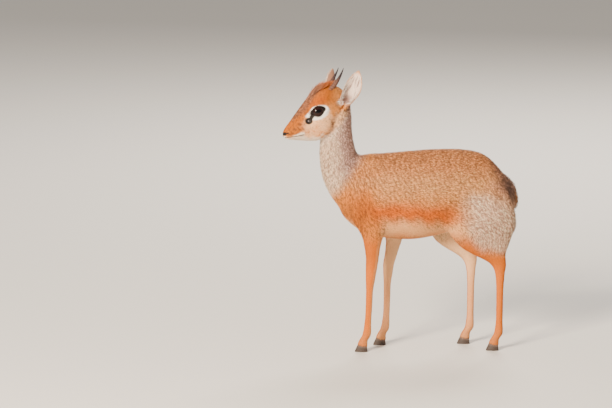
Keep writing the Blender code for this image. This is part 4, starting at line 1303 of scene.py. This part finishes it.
def eye(sign):
    """The front of the eyeball with a dark iris and a long level pupil."""
    out, along = (Vector(v) for v in eye_axes(sign)[:2])
    turn = Matrix((along, out.cross(along), out)).transposed().to_4x4()
    round_turn = angles(96)
    rings = []
    for lift in np.linspace(math.asin(EYE_BACK / EYE_RADIUS), math.pi / 2 - 0.02, 48):
        flat = EYE_RADIUS * math.cos(lift)
        top = EYE_RADIUS * math.sin(lift)
        rings.append(ring_of(flat * np.cos(round_turn), flat * np.sin(round_turn), top))
    made = loft("eye", np.array(rings))
    a, b = positions(made).T[:2] / MM
    reach = np.hypot(a, b)
    rays = 0.5 + 0.5 * np.sin(29 * np.arctan2(b, a) + 3 * np.sin(7 * np.arctan2(b, a)))
    colours = filled(IRIS, len(a)) * (0.75 + 0.5 * rays[:, None])
    paint(colours, IRIS_EDGE, ramp(8.2, 9.6, reach))
    paint(colours, PUPIL, ramp(1.12, 0.95, np.hypot(a / 6.2, b / 3.4)))
    dress(made, colours, "wet_eye")
    made.data.transform(head_matrix() @ Matrix.Translation(flipped(EYE, sign)) @ turn)
    return made


def horn_body(name, rings, tints):
    """A closed body through the rings, with one colour for each."""
    made = loft(name, rings)
    tints = np.repeat(np.vstack(tints), rings.shape[1], axis=0)
    dress(made, np.vstack((tints, tints[:1], tints[-1:])), "ringed_horn")
    return made


def horn(sign):
    """A short ringed cone, its tip curved forward."""
    turn = angles(28)
    base, tip = flipped(HORN_BASE, sign), flipped(HORN_TIP, sign)
    axis = (tip - base).normalized()
    front = (Vector((1, 0, 0)) - axis * axis.x).normalized()
    side = axis.cross(front)
    rings, tints = [], []
    for t in np.linspace(-0.06, 1, 90):
        wave = math.cos(2 * math.pi * HORN_RINGS * t / 0.62) * (t < 0.62)
        radius = HORN_RADIUS * (1 - 0.9 * max(t, 0) ** 1.15) + 0.22 * MM * wave * (1 - t)
        middle = np.array(base.lerp(tip, t) - front * HORN_CURVE * 4 * t * (1 - t))
        rings.append(middle + radius * (np.outer(np.cos(turn), front) + np.outer(np.sin(turn), side)))
        tint = paint(filled(HORN_COLOUR, 1), HORN_TIP_COLOUR, ramp(0.2, 0.75, np.array([t])))
        tints.append(tint * (1 + 0.22 * wave))
    return horn_body("horn", from_head(np.array(rings)), tints)


def toe(x, y, inner):
    """One of a foot's two hooves: flat below, leaning back above, rounded outside and pointed in front."""
    turn = angles(48)
    rings, tints = [], []
    for t in np.linspace(0, 1, 22):
        front, back = HOOF_FRONT - HOOF_LEAN * t, -HOOF_BACK + 1.2 * MM * t
        ridge = 0.12 * MM * math.sin(34 * t) * (0.1 < t < 0.95)
        half = HOOF_WIDTH / 2 * (1 - 0.06 * t)
        along = (front + back) / 2 + ((front - back) / 2 - 0.3 * MM * (t < 0.02)) * power(np.cos(turn), 0.9)
        taper = 1 - 0.5 * np.clip((along - back) / (front - back), 0, 1) ** 2.2
        out = CLEFT / 2 + half * taper * (1 + power(np.sin(turn), 0.85)) + ridge * (np.sin(turn) > 0)
        top = CORONET_FRONT - HOOF_GAP - CORONET_SLOPE * (HOOF_FRONT - HOOF_LEAN - along)
        rings.append(ring_of(x - along, y + inner * out, t * top))
        tint = paint(filled(HOOF_COLOUR, 1), CORONET, 0.7 * ramp(0.5, 1, np.array([t])))
        tints.append(tint * (1 + 0.05 * math.sin(34 * t)))
    return horn_body("toe", np.array(rings), tints)


# Materials


SHEEN = {"Sheen Weight": 0.04, "Sheen Roughness": 0.5}
# For each material: scale, strength and stretch of its noise, depth of its relief and the shader's inputs
MATERIALS = {
    "tuft_hair": (900, 0.12, (1, 1, 1), 0, {"Roughness": 0.6, "Specular IOR Level": 0.12, **SHEEN}),
    "bare_skin": (1400, 0.18, (0.5, 1, 1), 0.3 * MM, {"Specular IOR Level": 0.2}),
    "ringed_horn": (500, 0.16, (1, 1, 0.6), 0.25 * MM, {"Roughness": 0.5, "Specular IOR Level": 0.22}),
    "wet_eye": (500, 0.15, (1, 1, 1), 0, {"Roughness": 0.07, "IOR": 1.36, "Specular IOR Level": 0.3}),
}


def shader_of(name):
    material = bpy.data.materials.new(name)
    material.use_nodes = True
    return material, material.node_tree, material.node_tree.nodes["Principled BSDF"]


def set_inputs(node, values):
    for name, value in values.items():
        node.inputs[name].default_value = value


def added(tree, kind, values, links):
    """A new node, with values for inputs and with outputs of other nodes led to inputs."""
    node = tree.nodes.new(kind)
    set_inputs(node, values)
    for name, output in links.items():
        tree.links.new(output, node.inputs[name])
    return node


def attribute(tree, name):
    tint = tree.nodes.new("ShaderNodeAttribute")
    tint.attribute_name = name
    return tint


def material_of(name):
    """Base colour from the piece's own colours, varied by fine noise, which may also raise the surface."""
    if name in bpy.data.materials:
        return bpy.data.materials[name]
    scale, strength, stretch, relief, values = MATERIALS[name]
    material, tree, shader = shader_of(name)
    set_inputs(shader, values)
    place = tree.nodes.new("ShaderNodeTexCoord").outputs["Object"]
    place = added(tree, "ShaderNodeMapping", {"Scale": stretch}, {"Vector": place}).outputs["Vector"]
    noise = added(tree, "ShaderNodeTexNoise", {"Scale": scale, "Detail": 3}, {"Vector": place})
    noise = noise.outputs["Fac"]
    limits = {"From Min": 0.3, "From Max": 0.7, "To Min": 1 - strength, "To Max": 1 + strength}
    spread = added(tree, "ShaderNodeMapRange", limits, {"Value": noise})
    mix = tree.nodes.new("ShaderNodeVectorMath")
    mix.operation = "SCALE"
    tree.links.new(attribute(tree, "coat").outputs["Color"], mix.inputs[0])
    tree.links.new(spread.outputs["Result"], mix.inputs["Scale"])
    tree.links.new(mix.outputs["Vector"], shader.inputs["Base Color"])
    if relief:
        bump = added(tree, "ShaderNodeBump", {"Strength": 0.5, "Distance": relief}, {"Height": noise})
        tree.links.new(bump.outputs["Normal"], shader.inputs["Normal"])
    if name == "bare_skin":
        bare = attribute(tree, "bare").outputs["Fac"]
        rough = added(tree, "ShaderNodeMapRange", {"To Min": 0.8, "To Max": 0.5}, {"Value": bare})
        tree.links.new(rough.outputs["Result"], shader.inputs["Roughness"])
    return material


def dress(obj, colours, material):
    """Gives a piece its own colours, its material and smooth shading."""
    tint = obj.data.color_attributes.new("coat", "FLOAT_COLOR", "POINT")
    full = np.hstack((colours, np.ones((len(colours), 1))))
    tint.data.foreach_set("color", full.astype(np.float32).ravel())
    obj.data.materials.clear()
    obj.data.materials.append(material_of(material))
    obj.data.shade_smooth()


def dress_skin(skin):
    points, normals = positions(skin), normals_of(skin)
    colours, tick, bare = markings(points, normals)
    dress(skin, colours * (1 - 0.3 * tick[:, None]) * (0.85 + 0.15 * bare[:, None]), "bare_skin")
    wet = skin.data.attributes.new("bare", "FLOAT", "POINT")
    wet.data.foreach_set("value", bare.astype(np.float32))


def put(obj, name, slot_name, *nodes):
    """Moves a finished piece into the frame, where it rides on the one body and stands for its nodes."""
    obj.name = obj.data.name = name
    obj.data.transform(Matrix.Translation(SHIFT))
    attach(obj, "root")
    if nodes:
        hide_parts(*nodes)
    return obj


# Stage, light and camera


def studio():
    world = bpy.data.worlds.new("studio")
    bpy.context.scene.world = world
    world.use_nodes = True
    set_inputs(world.node_tree.nodes["Background"], {"Color": (1.0, 0.94, 0.87, 1), "Strength": 0.47})
    mesh = bpy.data.meshes.new("floor")
    mesh.from_pydata([(-30, -30, 0), (30, -30, 0), (30, 30, 0), (-30, 30, 0)], [], [(0, 1, 2, 3)])
    floor = new_object("floor", mesh)
    material, _, shader = shader_of("pale_floor")
    set_inputs(shader, {"Base Color": (0.74, 0.72, 0.69, 1), "Roughness": 0.9})
    mesh.materials.append(material)
    lamp("key", (-2.0, -3.2, 2.1), 1.2, 480, (1.0, 0.84, 0.66))
    lamp("rim", (0.8, 2.8, 2.4), 1.6, 140, (1.0, 0.92, 0.82))


def lamp(name, place, size, watts, colour):
    light = bpy.data.lights.new(name, "AREA")
    light.shape = "DISK"
    light.size, light.energy, light.color = size, watts, colour
    obj = bpy.data.objects.new(name, light)
    bpy.context.scene.collection.objects.link(obj)
    obj.location = place
    aim = Vector((0, 0, 0.27)) - obj.location
    obj.rotation_euler = aim.to_track_quat("-Z", "Y").to_euler()


def camera():
    azimuth, elevation = CAMERA_ANGLES
    level = math.cos(elevation)
    back = Vector((math.sin(azimuth) * level, -math.cos(azimuth) * level, math.sin(elevation)))
    turn = (-back).to_track_quat("-Z", "Y")
    right, up = turn @ Vector((1, 0, 0)), turn @ Vector((0, 1, 0))
    place = PIVOT + SHIFT + back * CAMERA_DISTANCE
    off = Vector((IMAGE[0] / 2 - PIVOT_PIXEL[0], PIVOT_PIXEL[1] - IMAGE[1] / 2)) * METRES_A_PIXEL
    aim = PIVOT + SHIFT + right * off.x + up * off.y - place
    cam = bpy.data.objects.new("camera", bpy.data.cameras.new("camera"))
    bpy.context.scene.collection.objects.link(cam)
    bpy.context.scene.camera = cam
    cam.data.sensor_width = 36
    cam.data.lens = cam.data.sensor_width * CAMERA_DISTANCE / (IMAGE[0] * METRES_A_PIXEL)
    cam.data.clip_start, cam.data.clip_end = 0.1, 100
    cam.location = place
    cam.rotation_mode = "QUATERNION"
    cam.rotation_quaternion = aim.to_track_quat("-Z", "Y")


def main():
    skin = one_skin()
    for sign in (1, -1):
        combined(skin, ear(sign), "UNION")
    for dressing in (coat, crest, ear_fringe, horn_collars, lashes):
        dressing(skin)
    for sign, word in ((1, "left"), (-1, "right")):
        put(eye(sign), "eyeball_" + word, "eye", "eye_" + word)
        put(horn(sign), "ringed_horn_" + word, "horn", "horn_" + word)
    for foot, x, y, side in foot_places():
        for word, inner in (("inner", -side), ("outer", side)):
            put(toe(x, y, inner), f"toe_{foot}_{word}", "hoof", f"{foot}_{word}")
    dress_skin(skin)
    flesh = [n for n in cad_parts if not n.startswith(("eye", "horn")) and "hoof" not in n]
    put(skin, "skin", "body_coat", *flesh)
    studio()
    camera()


main()
